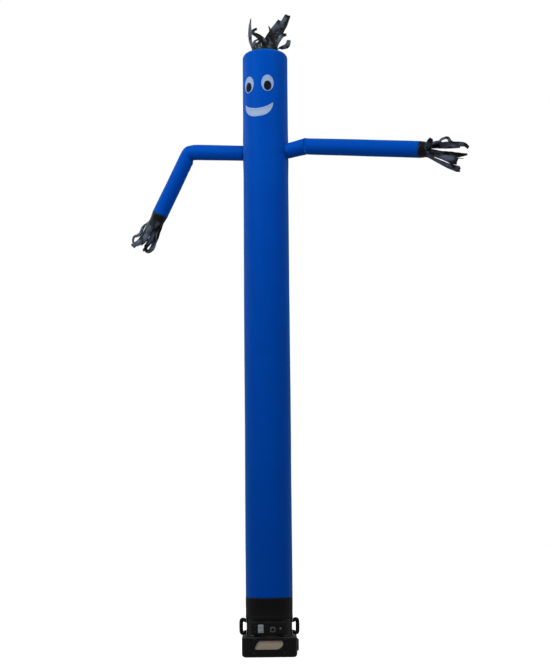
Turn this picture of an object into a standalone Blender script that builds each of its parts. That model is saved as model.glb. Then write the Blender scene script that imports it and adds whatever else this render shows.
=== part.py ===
"""An inflatable air dancer standing on its blower.

A round blue cloth tube with two arms and a face is held up by the air of the blower under it. The air
leaves through black fringes on the head and at the ends of the arms. Metres, +Z up, the front faces -Y
and the origin is on the ground under the middle of the blower.
"""

from collections import namedtuple
from math import cos, pi, radians, sin, sqrt, tan, tau

import bmesh
import bpy
from mathutils import Matrix, Quaternion, Vector

MM = 0.001
GAP = 0.3 * MM
CLOTH = 1.5 * MM

# The dancer is turned a little to its right on the blower, so its face and arms are too.
DANCER_TURN = radians(-20)

# The tube, from the black band over the blower's collar to the shoulder of the head.
TUBE_RADIUS = 0.2285
TUBE_SIDES = 32
BAND_FOOT_Z = 0.355
BAND_SEAM_Z = 0.555
SHOULDER_Z = 5.9816
SHOULDER_ROUND = 0.055
CAP_SEAM_TURN = radians(45)
CAP_SLOPE = radians(14)
VENT_RADIUS = 0.134

# The face, in arc lengths round the tube from its middle.
EYE_SPREAD = 0.104
EYE_Z = 5.664
EYE_HALF_WIDTH = 0.063
EYE_HALF_HEIGHT = 0.085
PUPIL_Z = 5.638
PUPIL_HALF_WIDTH = 0.038
PUPIL_HALF_HEIGHT = 0.050
MOUTH_HALF_WIDTH = 0.160
MOUTH_CORNER_Z = 5.465
MOUTH_TOP_Z = 5.406
MOUTH_FOOT_Z = 5.322
PATCH_THICKNESS = 1.0 * MM
PATCH_STEP = 0.013

# The arms are lofts through these round sections. Reach is measured from the tube's axis, lean is how
# far the arm points above level there.
ARM_SIDES = 16
ArmSection = namedtuple("ArmSection", "reach height radius lean")
RIGHT_ARM = [
    ArmSection(0.235, 4.995, 0.0770, 9),
    ArmSection(0.330, 5.010, 0.0790, 9),
    ArmSection(0.425, 5.025, 0.0835, 3),
    ArmSection(0.465, 5.020, 0.0815, -7),
    ArmSection(0.980, 4.956, 0.0830, -7),
    ArmSection(1.604, 4.876, 0.0830, -7),
]
LEFT_ARM = [
    ArmSection(0.235, 5.018, 0.0770, 6),
    ArmSection(0.500, 5.050, 0.0780, 6),
    ArmSection(0.735, 5.077, 0.0790, 5),
    ArmSection(0.800, 5.080, 0.0790, -8),
    ArmSection(0.842, 5.069, 0.0820, -30),
    ArmSection(0.877, 5.015, 0.0800, -56),
    ArmSection(0.905, 4.960, 0.0800, -62),
    ArmSection(1.040, 4.706, 0.0820, -62),
    ArmSection(1.174, 4.457, 0.0830, -62),
]

# Each sleeve is sewn from three lengths, which meet at these sections.
RIGHT_ARM_SEAMS = (2, 4)
LEFT_ARM_SEAMS = (2, 6)
ARM_LENGTHS = ("root", "middle", "end")

# A fringe is one cloth comb: an uncut cuff round an air outlet and the strips cut into it. Each strip
# is a list of folds. A fold turns the strip to a new heading over its length: rise is the heading's
# angle above the plane of the outlet and bearing its direction round it, 0 to the front and 90 to the
# right of the head. Width is the strip's width at the end of the fold, and roll its twist over it.
Fold = namedtuple("Fold", "length rise bearing width roll")
FOLD_STEPS = 3
HEAD_CUFF = 0.035
ARM_CUFF = 0.070
ARM_CUFF_END_RADIUS = 0.0745

HEAD_STRIPS = [
    # Front: crosses to the left over the low ones and hooks back.
    [Fold(0.045, 62, 325, 0.058, 0), Fold(0.135, 26, 266, 0.050, 40), Fold(0.022, 80, 268, 0.036, 0),
     Fold(0.055, 8, 85, 0.026, 0)],
    [Fold(0.050, 84, 60, 0.062, 0), Fold(0.050, 40, 330, 0.050, 0), Fold(0.040, -20, 300, 0.040, 0)],
    # Curls over to the front.
    [Fold(0.120, 70, 285, 0.058, 0), Fold(0.060, 60, 310, 0.064, 0), Fold(0.045, 10, 345, 0.056, 0),
     Fold(0.030, -50, 350, 0.048, 0)],
    # The hook on the right.
    [Fold(0.045, 8, 90, 0.054, 60), Fold(0.060, 26, 90, 0.056, 25), Fold(0.070, 88, 95, 0.040, 0)],
    [Fold(0.080, 72, 70, 0.060, 0), Fold(0.090, 60, 70, 0.070, 20), Fold(0.060, 0, 85, 0.040, 0)],
    # The tall tail on the right.
    [Fold(0.090, 70, 90, 0.080, 0), Fold(0.110, 64, 90, 0.106, 0), Fold(0.140, 63, 92, 0.108, 0),
     Fold(0.115, 68, 95, 0.072, 0)],
    [Fold(0.080, 82, 180, 0.066, 0), Fold(0.140, 54, 94, 0.084, 0), Fold(0.100, 60, 95, 0.080, 0),
     Fold(0.100, 62, 95, 0.044, 0)],
    [Fold(0.070, 84, 210, 0.060, 0), Fold(0.050, 60, 240, 0.050, 0), Fold(0.050, 0, 250, 0.036, 0)],
    [Fold(0.090, 68, 268, 0.052, 0), Fold(0.080, 78, 268, 0.034, 20), Fold(0.030, 20, 268, 0.012, 0)],
    # The tall thin tail on the left.
    [Fold(0.090, 76, 270, 0.058, 30), Fold(0.090, 88, 270, 0.050, 20), Fold(0.090, 94, 270, 0.034, 0),
     Fold(0.075, 97, 270, 0.010, 0)],
    [Fold(0.055, 82, 300, 0.055, 0), Fold(0.050, 20, 80, 0.048, 0), Fold(0.040, -10, 80, 0.036, 0)],
    [Fold(0.040, 76, 150, 0.055, 0), Fold(0.045, 40, 120, 0.050, 0), Fold(0.040, -10, 110, 0.036, 0)],
]
# On the arms the bearing is 0 to the front, 90 downwards on the right arm and outwards on the left.
RIGHT_STRIPS = [
    # Folded up across the front of the cuff.
    [Fold(0.025, 40, 345, 0.058, 0), Fold(0.070, 22, 285, 0.056, 60), Fold(0.030, 30, 272, 0.040, 0)],
    # The broad end of the lowest tail.
    [Fold(0.100, 80, 70, 0.046, -25), Fold(0.090, 74, 84, 0.054, -20), Fold(0.100, 74, 90, 0.078, 0),
     Fold(0.050, 78, 90, 0.064, 0)],
    [Fold(0.100, 68, 90, 0.042, -50), Fold(0.110, 66, 90, 0.046, -30), Fold(0.130, 75, 90, 0.062, 0),
     Fold(0.030, 80, 90, 0.050, 0)],
    [Fold(0.120, 86, 80, 0.046, -20), Fold(0.120, 88, 85, 0.042, -25), Fold(0.120, 86, 95, 0.024, 0)],
    # The middle tail.
    [Fold(0.100, 78, 110, 0.058, 0), Fold(0.110, 87, 92, 0.062, 0), Fold(0.100, 90, 90, 0.046, 15),
     Fold(0.080, 98, 90, 0.018, 0)],
    [Fold(0.100, 84, 190, 0.048, -20), Fold(0.110, 88, 180, 0.046, -20), Fold(0.100, 86, 200, 0.028, 0)],
    # The upper tail, whose tip droops.
    [Fold(0.090, 76, 90, 0.056, -45), Fold(0.120, 93, 90, 0.066, -30), Fold(0.120, 95, 90, 0.050, 0),
     Fold(0.040, 84, 90, 0.042, 0), Fold(0.055, 38, 90, 0.028, 0)],
    # The loop on top of it.
    [Fold(0.120, 82, 285, 0.046, 15), Fold(0.036, 28, 275, 0.040, 0), Fold(0.066, 86, 270, 0.038, 0),
     Fold(0.040, 26, 92, 0.036, 0), Fold(0.080, 88, 90, 0.026, 0)],
]
LEFT_STRIPS = [
    # The broad dark ones in the middle.
    [Fold(0.160, 87, 290, 0.060, 0), Fold(0.080, 72, 85, 0.066, 0), Fold(0.085, 48, 88, 0.060, 0),
     Fold(0.060, 36, 90, 0.030, 0)],
    [Fold(0.130, 90, 45, 0.042, -20), Fold(0.110, 86, 85, 0.046, -20), Fold(0.120, 66, 90, 0.040, 0)],
    # The outer tail, which hangs clear and ends in a small loop.
    [Fold(0.110, 60, 90, 0.046, -60), Fold(0.085, 104, 90, 0.046, -25), Fold(0.080, 34, 90, 0.032, 0),
     Fold(0.060, 120, 90, 0.026, 0), Fold(0.035, 185, 90, 0.020, 0)],
    [Fold(0.110, 84, 230, 0.040, -25), Fold(0.110, 88, 95, 0.040, -20), Fold(0.090, 66, 90, 0.030, 0)],
    [Fold(0.120, 88, 170, 0.058, 0), Fold(0.120, 84, 90, 0.056, 0), Fold(0.110, 74, 90, 0.036, 20)],
    [Fold(0.110, 84, 200, 0.048, -20), Fold(0.100, 84, 150, 0.050, -20), Fold(0.090, 78, 100, 0.036, 0)],
    # The lower tail, which ends in a loop.
    [Fold(0.120, 84, 90, 0.050, -50), Fold(0.085, 74, 270, 0.062, -30), Fold(0.070, 80, 270, 0.060, 0),
     Fold(0.060, 52, 90, 0.046, 0), Fold(0.035, -20, 90, 0.036, 0), Fold(0.050, -70, 90, 0.024, 0)],
    [Fold(0.110, 88, 180, 0.042, 15), Fold(0.110, 84, 120, 0.044, 15), Fold(0.080, 74, 110, 0.036, 0)],
]

# The blower: a low block with a round drum on it and a collar that the tube's band slips over.
BASE_WIDTH = 0.530
BASE_HEIGHT = 0.190
BASE_CORNER = 0.050
BASE_EDGE = 0.010
BASE_FOOT_EDGE = 0.030
BASE_WALL = 0.008
BASE_PORT_RADIUS = 0.185
DRUM_RADIUS = 0.2225
DRUM_BORE = 0.2080
DRUM_STEPS = 48
FLANGE_RADIUS = 0.236
FLANGE_TOP_Z = 0.199
COLLAR_RADIUS = 0.2230
COLLAR_FOOT_Z = 0.350
COLLAR_TOP_Z = 0.430

HANDLE_BAR = 0.038
HandlePoint = namedtuple("HandlePoint", "out height")
HANDLE_PATH = [
    HandlePoint(0.2232, 0.3315),
    HandlePoint(0.2300, 0.3315),
    HandlePoint(0.2440, 0.3395),
    HandlePoint(0.2560, 0.3445),
    HandlePoint(0.2675, 0.3405),
    HandlePoint(0.2740, 0.3285),
    HandlePoint(0.2740, 0.2270),
    HandlePoint(0.2675, 0.2155),
    HandlePoint(0.2570, 0.2115),
    HandlePoint(0.2450, 0.2180),
    HandlePoint(0.2300, 0.2240),
    HandlePoint(0.2232, 0.2240),
]

# The window in the block's front: its two level edges, its slanted left end and its upright right one.
WINDOW_FOOT_Z = 0.075
WINDOW_TOP_Z = 0.158
WINDOW_SIDE_Z = 0.108
WINDOW_CORNER = 0.022
WINDOW_TOP_X = (-0.104, 0.131)
WINDOW_FOOT_X = (-0.149, 0.084)
SCREEN_THICKNESS = 3 * MM
SCREEN_MARGIN = 0.012

# The control panel on the drum's front and what is fitted on it.
PANEL_X = (-0.168, 0.150)
PANEL_Z = (0.214, 0.330)
PANEL_FRONT_Y = -0.2330
OUTLET_X = -0.083
OUTLET_Z = 0.269
OUTLET_SIZE = (0.051, 0.078)
OUTLET_FACE_RADIUS = 0.0165
OUTLET_FACE_SPREAD = 0.0185
DIAL_X = 0.032
DIAL_Z = 0.260
DIAL_PLATE = 0.050
DIAL_CORNER = 0.014
OUTLET_CORNER = 0.004
PLATE_THICKNESS = 3 * MM
KNOB_RADIUS = 0.0155
KNOB_DEPTH = 0.014
BUTTON_X = 0.106
BUTTON_Z = 0.268
BUTTON_RADIUS = 0.0065
BUTTON_LENGTH = 0.020
BUTTON_PROUD = 0.009
BEZEL_RADIUS = 0.0115
BEZEL_DEPTH = 0.005
SIDE_COVER_RADIUS = 0.064
SIDE_COVER_DEPTH = 0.019
SIDE_COVER_ROUND = 0.010
SIDE_COVER_Z = 0.100

SCREW_RADIUS = 0.006
SCREW_HEAD = 0.003
Screw = namedtuple("Screw", "name x z front")
SCREWS = [
    Screw("panel_screw_upper", -0.140, 0.292, PANEL_FRONT_Y),
    Screw("panel_screw_lower", -0.140, 0.243, PANEL_FRONT_Y),
    Screw("base_screw_upper_left", -0.150, 0.170, -BASE_WIDTH / 2),
    Screw("base_screw_upper_right", 0.152, 0.170, -BASE_WIDTH / 2),
    Screw("base_screw_lower_left", -0.150, 0.042, -BASE_WIDTH / 2),
    Screw("base_screw_lower_right", 0.144, 0.042, -BASE_WIDTH / 2),
]

PARTS = "inflatable_air_dancer"
CUTTERS = "cutters"


# ---------------------------------------------------------------- scene and materials


def clear_scene():
    for item in list(bpy.data.objects):
        bpy.data.objects.remove(item, do_unlink=True)


def make_collection(name):
    collection = bpy.data.collections.new(name)
    bpy.context.scene.collection.children.link(collection)
    return collection


def make_material(name, colour, roughness, metallic=0.0):
    material = bpy.data.materials.new(name)
    material.use_nodes = True
    shader = material.node_tree.nodes["Principled BSDF"]
    shader.inputs["Base Color"].default_value = (*colour, 1.0)
    shader.inputs["Roughness"].default_value = roughness
    shader.inputs["Metallic"].default_value = metallic
    return material


def make_materials():
    return {
        "blue_cloth": make_material("blue_cloth", (0.010, 0.080, 0.450), 0.55),
        "black_cloth": make_material("black_cloth", (0.012, 0.013, 0.016), 0.60),
        "white_cloth": make_material("white_cloth", (0.620, 0.720, 0.850), 0.60),
        "pupil_cloth": make_material("pupil_cloth", (0.008, 0.009, 0.012), 0.60),
        "black_plastic": make_material("black_plastic", (0.014, 0.014, 0.015), 0.42),
        "grey_plastic": make_material("grey_plastic", (0.220, 0.230, 0.250), 0.50),
        "screen_mesh": make_material("screen_mesh", (0.130, 0.115, 0.100), 0.80),
        "steel": make_material("steel", (0.350, 0.350, 0.360), 0.35, 1.0),
    }


def add_mesh_object(name, mesh, collection, material=None, parent=None):
    item = bpy.data.objects.new(name, mesh)
    collection.objects.link(item)
    item.parent = parent
    if material is not None:
        mesh.materials.append(material)
    return item


def smooth(mesh, angle=35):
    mesh.shade_smooth()
    mesh.set_sharp_from_angle(angle=radians(angle))


def cut(item, cutter, name):
    """Takes the cutter out of the item, and keeps it as a hidden wire helper."""
    cutter.hide_render = True
    cutter.display_type = "WIRE"
    modifier = item.modifiers.new(name, "BOOLEAN")
    modifier.operation = "DIFFERENCE"
    modifier.solver = "EXACT"
    modifier.object = cutter


def box_mesh(name, low, high):
    """A box between two corners."""
    mesh = bpy.data.meshes.new(name)
    shape = bmesh.new()
    bmesh.ops.create_cube(shape, size=1.0)
    low = Vector(low)
    high = Vector(high)
    bmesh.ops.scale(shape, vec=high - low, verts=shape.verts)
    bmesh.ops.translate(shape, vec=(low + high) / 2, verts=shape.verts)
    shape.to_mesh(mesh)
    shape.free()
    return mesh


def cylinder_mesh(name, radius, depth, sides, axis="Z", radius_far=None):
    """A cylinder centred on the origin, or a cone if radius_far is another radius."""
    mesh = bpy.data.meshes.new(name)
    shape = bmesh.new()
    far = radius if radius_far is None else radius_far
    bmesh.ops.create_cone(shape, cap_ends=True, segments=sides, radius1=radius, radius2=far, depth=depth)
    turns = {
        "Z": Matrix.Identity(3),
        "Y": Matrix.Rotation(pi / 2, 3, "X"),
        "X": Matrix.Rotation(pi / 2, 3, "Y"),
    }
    bmesh.ops.rotate(shape, matrix=turns[axis], verts=shape.verts)
    shape.to_mesh(mesh)
    shape.free()
    return mesh


def bevel_edges(mesh, chooses, width, segments):
    """Rounds the edges that the function chooses by their two ends."""
    shape = bmesh.new()
    shape.from_mesh(mesh)
    edges = [edge for edge in shape.edges if chooses(edge.verts[0].co, edge.verts[1].co)]
    bmesh.ops.bevel(shape, geom=edges, offset=width, segments=segments, profile=0.5, affect="EDGES")
    shape.to_mesh(mesh)
    shape.free()


def turned_object(name, profile, steps, collection, material, parent=None):
    """A closed profile in the XZ plane turned round the Z axis."""
    mesh = bpy.data.meshes.new(name)
    points = [(radius, 0.0, height) for radius, height in profile]
    edges = [(i, (i + 1) % len(points)) for i in range(len(points))]
    mesh.from_pydata(points, edges, [])
    item = add_mesh_object(name, mesh, collection, material, parent)
    turn = item.modifiers.new("turn", "SCREW")
    turn.axis = "Z"
    turn.steps = steps
    turn.render_steps = steps
    turn.use_merge_vertices = True
    turn.merge_threshold = 0.05 * MM
    turn.use_smooth_shade = True
    return item


def loft_object(name, rings, collection, material, parent=None):
    """A closed skin through rings of equally many points; the last ring joins the first."""
    mesh = bpy.data.meshes.new(name)
    sides = len(rings[0])
    points = [point for ring in rings for point in ring]
    faces = []
    for row in range(len(rings)):
        following = (row + 1) % len(rings)
        for side in range(sides):
            beside = (side + 1) % sides
            faces.append((row * sides + side, row * sides + beside,
                          following * sides + beside, following * sides + side))
    mesh.from_pydata(points, [], faces)
    face_outwards(mesh)
    return add_mesh_object(name, mesh, collection, material, parent)


def face_outwards(mesh):
    shape = bmesh.new()
    shape.from_mesh(mesh)
    bmesh.ops.recalc_face_normals(shape, faces=shape.faces)
    if shape.calc_volume(signed=True) < 0:
        bmesh.ops.reverse_faces(shape, faces=shape.faces)
    shape.to_mesh(mesh)
    shape.free()
    smooth(mesh)


# ---------------------------------------------------------------- the dancer's cloth


def shoulder_point(turn, inset=0.0):
    """A point on the head's rounded shoulder: turn is 0 where the tube is upright."""
    middle = TUBE_RADIUS - SHOULDER_ROUND
    reach = SHOULDER_ROUND - inset
    return (middle + reach * cos(turn), SHOULDER_Z + reach * sin(turn))


def vent_point(share, inset=0.0):
    """A point on the sloping crown: share is 0 at the end of the shoulder and 1 at the vent's edge."""
    start_radius, start_z = shoulder_point(pi / 2 - CAP_SLOPE, inset)
    radius = start_radius + (VENT_RADIUS - start_radius) * share
    return (radius, start_z + (start_radius - radius) * tan(CAP_SLOPE))


def tube_body(parts, cutters, materials, dancer):
    turns = [CAP_SEAM_TURN * step / 2 for step in range(3)]
    outside = [shoulder_point(turn) for turn in reversed(turns)]
    outside.append((TUBE_RADIUS, (SHOULDER_Z + BAND_SEAM_Z) / 2))
    outside.append((TUBE_RADIUS, BAND_SEAM_Z + GAP))
    inside = [(TUBE_RADIUS - CLOTH, BAND_SEAM_Z + GAP)]
    inside.append((TUBE_RADIUS - CLOTH, (SHOULDER_Z + BAND_SEAM_Z) / 2))
    inside += [shoulder_point(turn, CLOTH) for turn in turns]
    body = turned_object("tube_body", outside + inside, TUBE_SIDES, parts, materials["blue_cloth"], dancer)
    for side, sections, direction in (("right", RIGHT_ARM, 1), ("left", LEFT_ARM, -1)):
        root = sections[0]
        plug = cylinder_mesh(f"{side}_arm_hole", root.radius - 0.007, 0.16, ARM_SIDES, "X")
        cutter = add_mesh_object(f"{side}_arm_hole", plug, cutters, None, dancer)
        cutter.location = (direction * TUBE_RADIUS, 0.0, root.height)
        cut(body, cutter, f"{side}_arm_hole")


def base_band(parts, materials, dancer):
    profile = [
        (TUBE_RADIUS, BAND_SEAM_Z),
        (TUBE_RADIUS, BAND_FOOT_Z),
        (TUBE_RADIUS - CLOTH, BAND_FOOT_Z),
        (TUBE_RADIUS - CLOTH, BAND_SEAM_Z),
    ]
    turned_object("base_band", profile, TUBE_SIDES, parts, materials["black_cloth"], dancer)


def head_cap(parts, materials, dancer):
    first = CAP_SEAM_TURN + 1.2 * GAP / SHOULDER_ROUND
    turns = [first + (pi / 2 - CAP_SLOPE - first) * step / 2 for step in range(3)]
    outside = [vent_point(share) for share in (1.0, 0.5)]
    outside += [shoulder_point(turn) for turn in reversed(turns)]
    inside = [shoulder_point(turn, CLOTH) for turn in turns]
    inside += [vent_point(share, CLOTH) for share in (0.5, 1.0)]
    turned_object("head_cap", outside + inside, TUBE_SIDES, parts, materials["blue_cloth"], dancer)


def patch_object(name, middle, edges, clearance, parts, material, dancer):
    """A cloth patch that follows the tube. edges(s) gives its foot and top at s, from -1 to 1."""
    centre, half_width = middle
    inner = TUBE_RADIUS + clearance
    columns = max(10, round(2 * half_width / PATCH_STEP))
    rings = []
    for column in range(columns + 1):
        across = -cos(pi * (0.06 + 0.88 * column / columns))
        foot, top = edges(across)
        turn = (centre + half_width * across) / TUBE_RADIUS
        ring = []
        for radius, height in ((inner, foot), (inner + PATCH_THICKNESS, foot),
                               (inner + PATCH_THICKNESS, top), (inner, top)):
            ring.append((radius * sin(turn), -radius * cos(turn), height))
        rings.append(ring)
    mesh = bpy.data.meshes.new(name)
    points = [point for ring in rings for point in ring]
    faces = [(0, 1, 2, 3), tuple(len(points) - step for step in range(1, 5))]
    for row in range(len(rings) - 1):
        for side in range(4):
            beside = (side + 1) % 4
            faces.append((row * 4 + side, row * 4 + beside, row * 4 + 4 + beside, row * 4 + 4 + side))
    mesh.from_pydata(points, [], faces)
    face_outwards(mesh)
    return add_mesh_object(name, mesh, parts, material, dancer)


def oval(middle_z, half_height):
    return lambda across: (middle_z - half_height * sqrt(1 - across * across),
                           middle_z + half_height * sqrt(1 - across * across))


def smile(across):
    """The mouth's lower edge is a deep bow and its upper edge a shallow one."""
    top = MOUTH_TOP_Z + (MOUTH_CORNER_Z - MOUTH_TOP_Z) * across * across
    foot = MOUTH_FOOT_Z + (MOUTH_CORNER_Z - MOUTH_FOOT_Z) * (1 - sqrt(1 - abs(across) ** 2.4))
    return foot, top


def face_patches(parts, materials, dancer):
    first_layer = GAP + 0.1 * MM
    second_layer = first_layer + PATCH_THICKNESS + GAP
    for side, direction in (("left", -1), ("right", 1)):
        centre = direction * EYE_SPREAD
        white = oval(EYE_Z, EYE_HALF_HEIGHT)
        patch_object(f"eye_{side}", (centre, EYE_HALF_WIDTH), white, first_layer,
                     parts, materials["white_cloth"], dancer)
        dark = oval(PUPIL_Z, PUPIL_HALF_HEIGHT)
        patch_object(f"pupil_{side}", (centre, PUPIL_HALF_WIDTH), dark, second_layer,
                     parts, materials["pupil_cloth"], dancer)
    patch_object("mouth", (0.0, MOUTH_HALF_WIDTH), smile, first_layer, parts, materials["white_cloth"],
                 dancer)


def arm_ring(section, radius, direction):
    """The points of one round section of an arm, which runs along +X or -X of the dancer."""
    lean = radians(section.lean)
    upright = Vector((-sin(lean), 0.0, cos(lean)))
    centre = Vector((section.reach, 0.0, section.height))
    ring = []
    for side in range(ARM_SIDES):
        turn = tau * side / ARM_SIDES
        point = centre + radius * cos(turn) * upright + radius * sin(turn) * Vector((0.0, 1.0, 0.0))
        ring.append(Vector((direction * point.x, point.y, point.z)))
    return ring


def meet_tube(ring, direction):
    """Moves the points of an arm's first section to just outside the tube."""
    clear = TUBE_RADIUS + 2 * GAP
    return [Vector((direction * sqrt(clear ** 2 - point.y ** 2), point.y, point.z)) for point in ring]


def past_seam(section):
    """The section a seam's gap further along the arm."""
    lean = radians(section.lean)
    return section._replace(reach=section.reach + GAP * cos(lean), height=section.height + GAP * sin(lean))


def arm(side, sections, seams, direction, parts, materials, dancer):
    """A sleeve sewn from three lengths, the first of which meets the tube."""
    ends = (0, *seams, len(sections) - 1)
    for place, (first, last) in zip(ARM_LENGTHS, zip(ends, ends[1:])):
        length = sections[first:last + 1]
        if place != "root":
            length[0] = past_seam(length[0])
        outside = [arm_ring(section, section.radius, direction) for section in length]
        inside = [arm_ring(section, section.radius - CLOTH, direction) for section in length]
        if place == "root":
            outside[0] = meet_tube(outside[0], direction)
            inside[0] = meet_tube(inside[0], direction)
        loft_object(f"{side}_arm_{place}", outside + inside[::-1], parts, materials["blue_cloth"], dancer)


# ---------------------------------------------------------------- the fringes


def heading(rise, bearing):
    level = cos(radians(rise))
    return Vector((level * sin(radians(bearing)), -level * cos(radians(bearing)), sin(radians(rise))))


def strip_sections(root_middle, root_across, folds):
    """The middle and the half-width vector of each section of a strip above its root."""
    place = root_middle.copy()
    across = root_across.normalized()
    width = root_across.length
    ahead = Vector((0.0, 0.0, 1.0))
    found = []
    for fold in folds:
        turn = ahead.rotation_difference(heading(fold.rise, fold.bearing))
        begin = ahead.copy()
        width_before = width
        for step in range(FOLD_STEPS):
            share = (step + 1) / FOLD_STEPS
            now = Quaternion().slerp(turn, share) @ begin
            swing = ahead.rotation_difference(now)
            across = Quaternion(now, radians(fold.roll) / FOLD_STEPS) @ (swing @ across)
            ahead = now
            place = place + ahead * (fold.length / FOLD_STEPS)
            width = width_before + (fold.width - width_before) * share
            found.append((place.copy(), across * (width / 2)))
    return found


def fringe(name, radii, cuff, strips, parts, materials, parent):
    """A cuff round the outlet, whose rim goes on as strips; two rim edges carry one strip."""
    rim_edges = 2 * len(strips)
    start_radius, end_radius = radii
    points = []
    for radius, height in ((start_radius, 0.0), (end_radius, cuff)):
        for edge in range(rim_edges):
            turn = tau * (edge - 1) / rim_edges
            points.append(Vector((radius * sin(turn), -radius * cos(turn), height)))
    faces = []
    for edge in range(rim_edges):
        beside = (edge + 1) % rim_edges
        faces.append((edge, beside, rim_edges + beside, rim_edges + edge))
    for number, folds in enumerate(strips):
        row = [rim_edges + (2 * number + step) % rim_edges for step in range(3)]
        middle = (points[row[0]] + points[row[1]] * 2 + points[row[2]]) / 4
        across = points[row[2]] - points[row[0]]
        for place, half in strip_sections(middle, across, folds):
            first = len(points)
            points += [place - half, place, place + half]
            above = [first, first + 1, first + 2]
            faces.append((row[0], row[1], above[1], above[0]))
            faces.append((row[1], row[2], above[2], above[1]))
            row = above
    mesh = bpy.data.meshes.new(name)
    mesh.from_pydata(points, [], faces)
    smooth(mesh, 60)
    item = add_mesh_object(name, mesh, parts, materials["black_cloth"], parent)
    cloth = item.modifiers.new("cloth", "SOLIDIFY")
    cloth.thickness = CLOTH
    cloth.offset = -1.0
    return item


def head_fringe(parts, materials):
    radius = VENT_RADIUS * cos(pi / TUBE_SIDES) - GAP
    item = fringe("head_fringe", (radius, radius), HEAD_CUFF, HEAD_STRIPS, parts, materials, None)
    item.location = (0.0, 0.0, vent_point(1.0, CLOTH)[1])


def arm_fringe(name, sections, direction, strips, parts, materials, dancer):
    end = sections[-1]
    radii = (end.radius, ARM_CUFF_END_RADIUS)
    item = fringe(name, radii, ARM_CUFF, strips, parts, materials, dancer)
    lean = radians(end.lean)
    along = Vector((direction * cos(lean), 0.0, sin(lean)))
    start = Vector((direction * end.reach, 0.0, end.height)) + along * GAP
    turn = Matrix.Rotation(direction * (pi / 2 - lean), 4, "Y")
    item.matrix_local = Matrix.Translation(start) @ turn


# ---------------------------------------------------------------- the blower


def base_block(parts, cutters, materials):
    half = BASE_WIDTH / 2
    mesh = box_mesh("blower_base", (-half, -half, 0.0), (half, half, BASE_HEIGHT))
    bevel_edges(mesh, lambda a, b: abs(a.z - b.z) > BASE_EDGE, BASE_CORNER, 5)
    bevel_edges(mesh, lambda a, b: min(a.z, b.z) > BASE_HEIGHT - MM, BASE_EDGE, 2)
    bevel_edges(mesh, lambda a, b: max(a.z, b.z) < MM, BASE_FOOT_EDGE, 3)
    smooth(mesh)
    block = add_mesh_object("blower_base", mesh, parts, materials["black_plastic"])
    inner = half - BASE_WALL
    hollow = box_mesh("base_hollow", (-inner, -inner, BASE_WALL), (inner, inner, BASE_HEIGHT - BASE_WALL))
    bevel_edges(hollow, lambda a, b: abs(a.z - b.z) > BASE_EDGE, BASE_CORNER - BASE_WALL, 5)
    bevel_edges(hollow, lambda a, b: max(a.z, b.z) < BASE_WALL + MM, BASE_FOOT_EDGE - BASE_WALL, 3)
    port = cylinder_mesh("base_port", BASE_PORT_RADIUS, 0.08, DRUM_STEPS)
    port_cutter = add_mesh_object("base_port", port, cutters)
    port_cutter.location.z = BASE_HEIGHT
    cut(block, add_mesh_object("base_hollow", hollow, cutters), "hollow")
    cut(block, port_cutter, "port")
    cut(block, window_cutter(cutters), "window")


def window_cutter(cutters):
    """A prism through the front wall with the window's slanted outline."""
    outline = [(WINDOW_FOOT_X[0], WINDOW_FOOT_Z), (WINDOW_FOOT_X[1], WINDOW_FOOT_Z),
               (WINDOW_TOP_X[1], WINDOW_SIDE_Z), (WINDOW_TOP_X[1], WINDOW_TOP_Z),
               (WINDOW_TOP_X[0], WINDOW_TOP_Z)]
    front = -BASE_WIDTH / 2
    mesh = bpy.data.meshes.new("base_window")
    points = [(x, y, z) for y in (front - 0.02, front + 2 * BASE_WALL) for x, z in outline]
    count = len(outline)
    faces = [tuple(range(count)), tuple(reversed(range(count, 2 * count)))]
    faces += [(i, count + i, count + (i + 1) % count, (i + 1) % count) for i in range(count)]
    mesh.from_pydata(points, [], faces)
    face_outwards(mesh)
    bevel_edges(mesh, lambda a, b: abs(a.y - b.y) > BASE_WALL, WINDOW_CORNER, 3)
    return add_mesh_object("base_window", mesh, cutters)


def intake_screen(parts, materials):
    front = -BASE_WIDTH / 2 + BASE_WALL + GAP
    low = (WINDOW_FOOT_X[0] - SCREEN_MARGIN, front, WINDOW_FOOT_Z - SCREEN_MARGIN)
    high = (WINDOW_TOP_X[1] + SCREEN_MARGIN, front + SCREEN_THICKNESS, WINDOW_TOP_Z + SCREEN_MARGIN)
    mesh = box_mesh("intake_screen", low, high)
    add_mesh_object("intake_screen", mesh, parts, materials["screen_mesh"])


def drum(parts, materials):
    profile = [
        (COLLAR_RADIUS - 0.002, COLLAR_TOP_Z),
        (COLLAR_RADIUS, COLLAR_TOP_Z - 0.002),
        (COLLAR_RADIUS, COLLAR_FOOT_Z),
        (DRUM_RADIUS, COLLAR_FOOT_Z - 0.004),
        (DRUM_RADIUS, FLANGE_TOP_Z + 0.004),
        (DRUM_RADIUS + 0.004, FLANGE_TOP_Z),
        (FLANGE_RADIUS - 0.002, FLANGE_TOP_Z),
        (FLANGE_RADIUS, FLANGE_TOP_Z - 0.002),
        (FLANGE_RADIUS, BASE_HEIGHT + GAP),
        (DRUM_BORE, BASE_HEIGHT + GAP),
        (DRUM_BORE, COLLAR_TOP_Z),
    ]
    turned_object("blower_drum", profile, DRUM_STEPS, parts, materials["black_plastic"])


def handle(name, direction, parts, materials):
    """A bar bent into a loop whose two ends meet the drum."""
    path = bpy.data.curves.new(name, "CURVE")
    path.dimensions = "3D"
    path.bevel_depth = HANDLE_BAR / 2
    path.bevel_resolution = 3
    path.use_fill_caps = True
    spline = path.splines.new("POLY")
    spline.points.add(len(HANDLE_PATH) - 1)
    for point, step in zip(spline.points, HANDLE_PATH):
        point.co = (direction * step.out, 0.0, step.height, 1.0)
    path.materials.append(materials["black_plastic"])
    item = bpy.data.objects.new(name, path)
    parts.objects.link(item)


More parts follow.
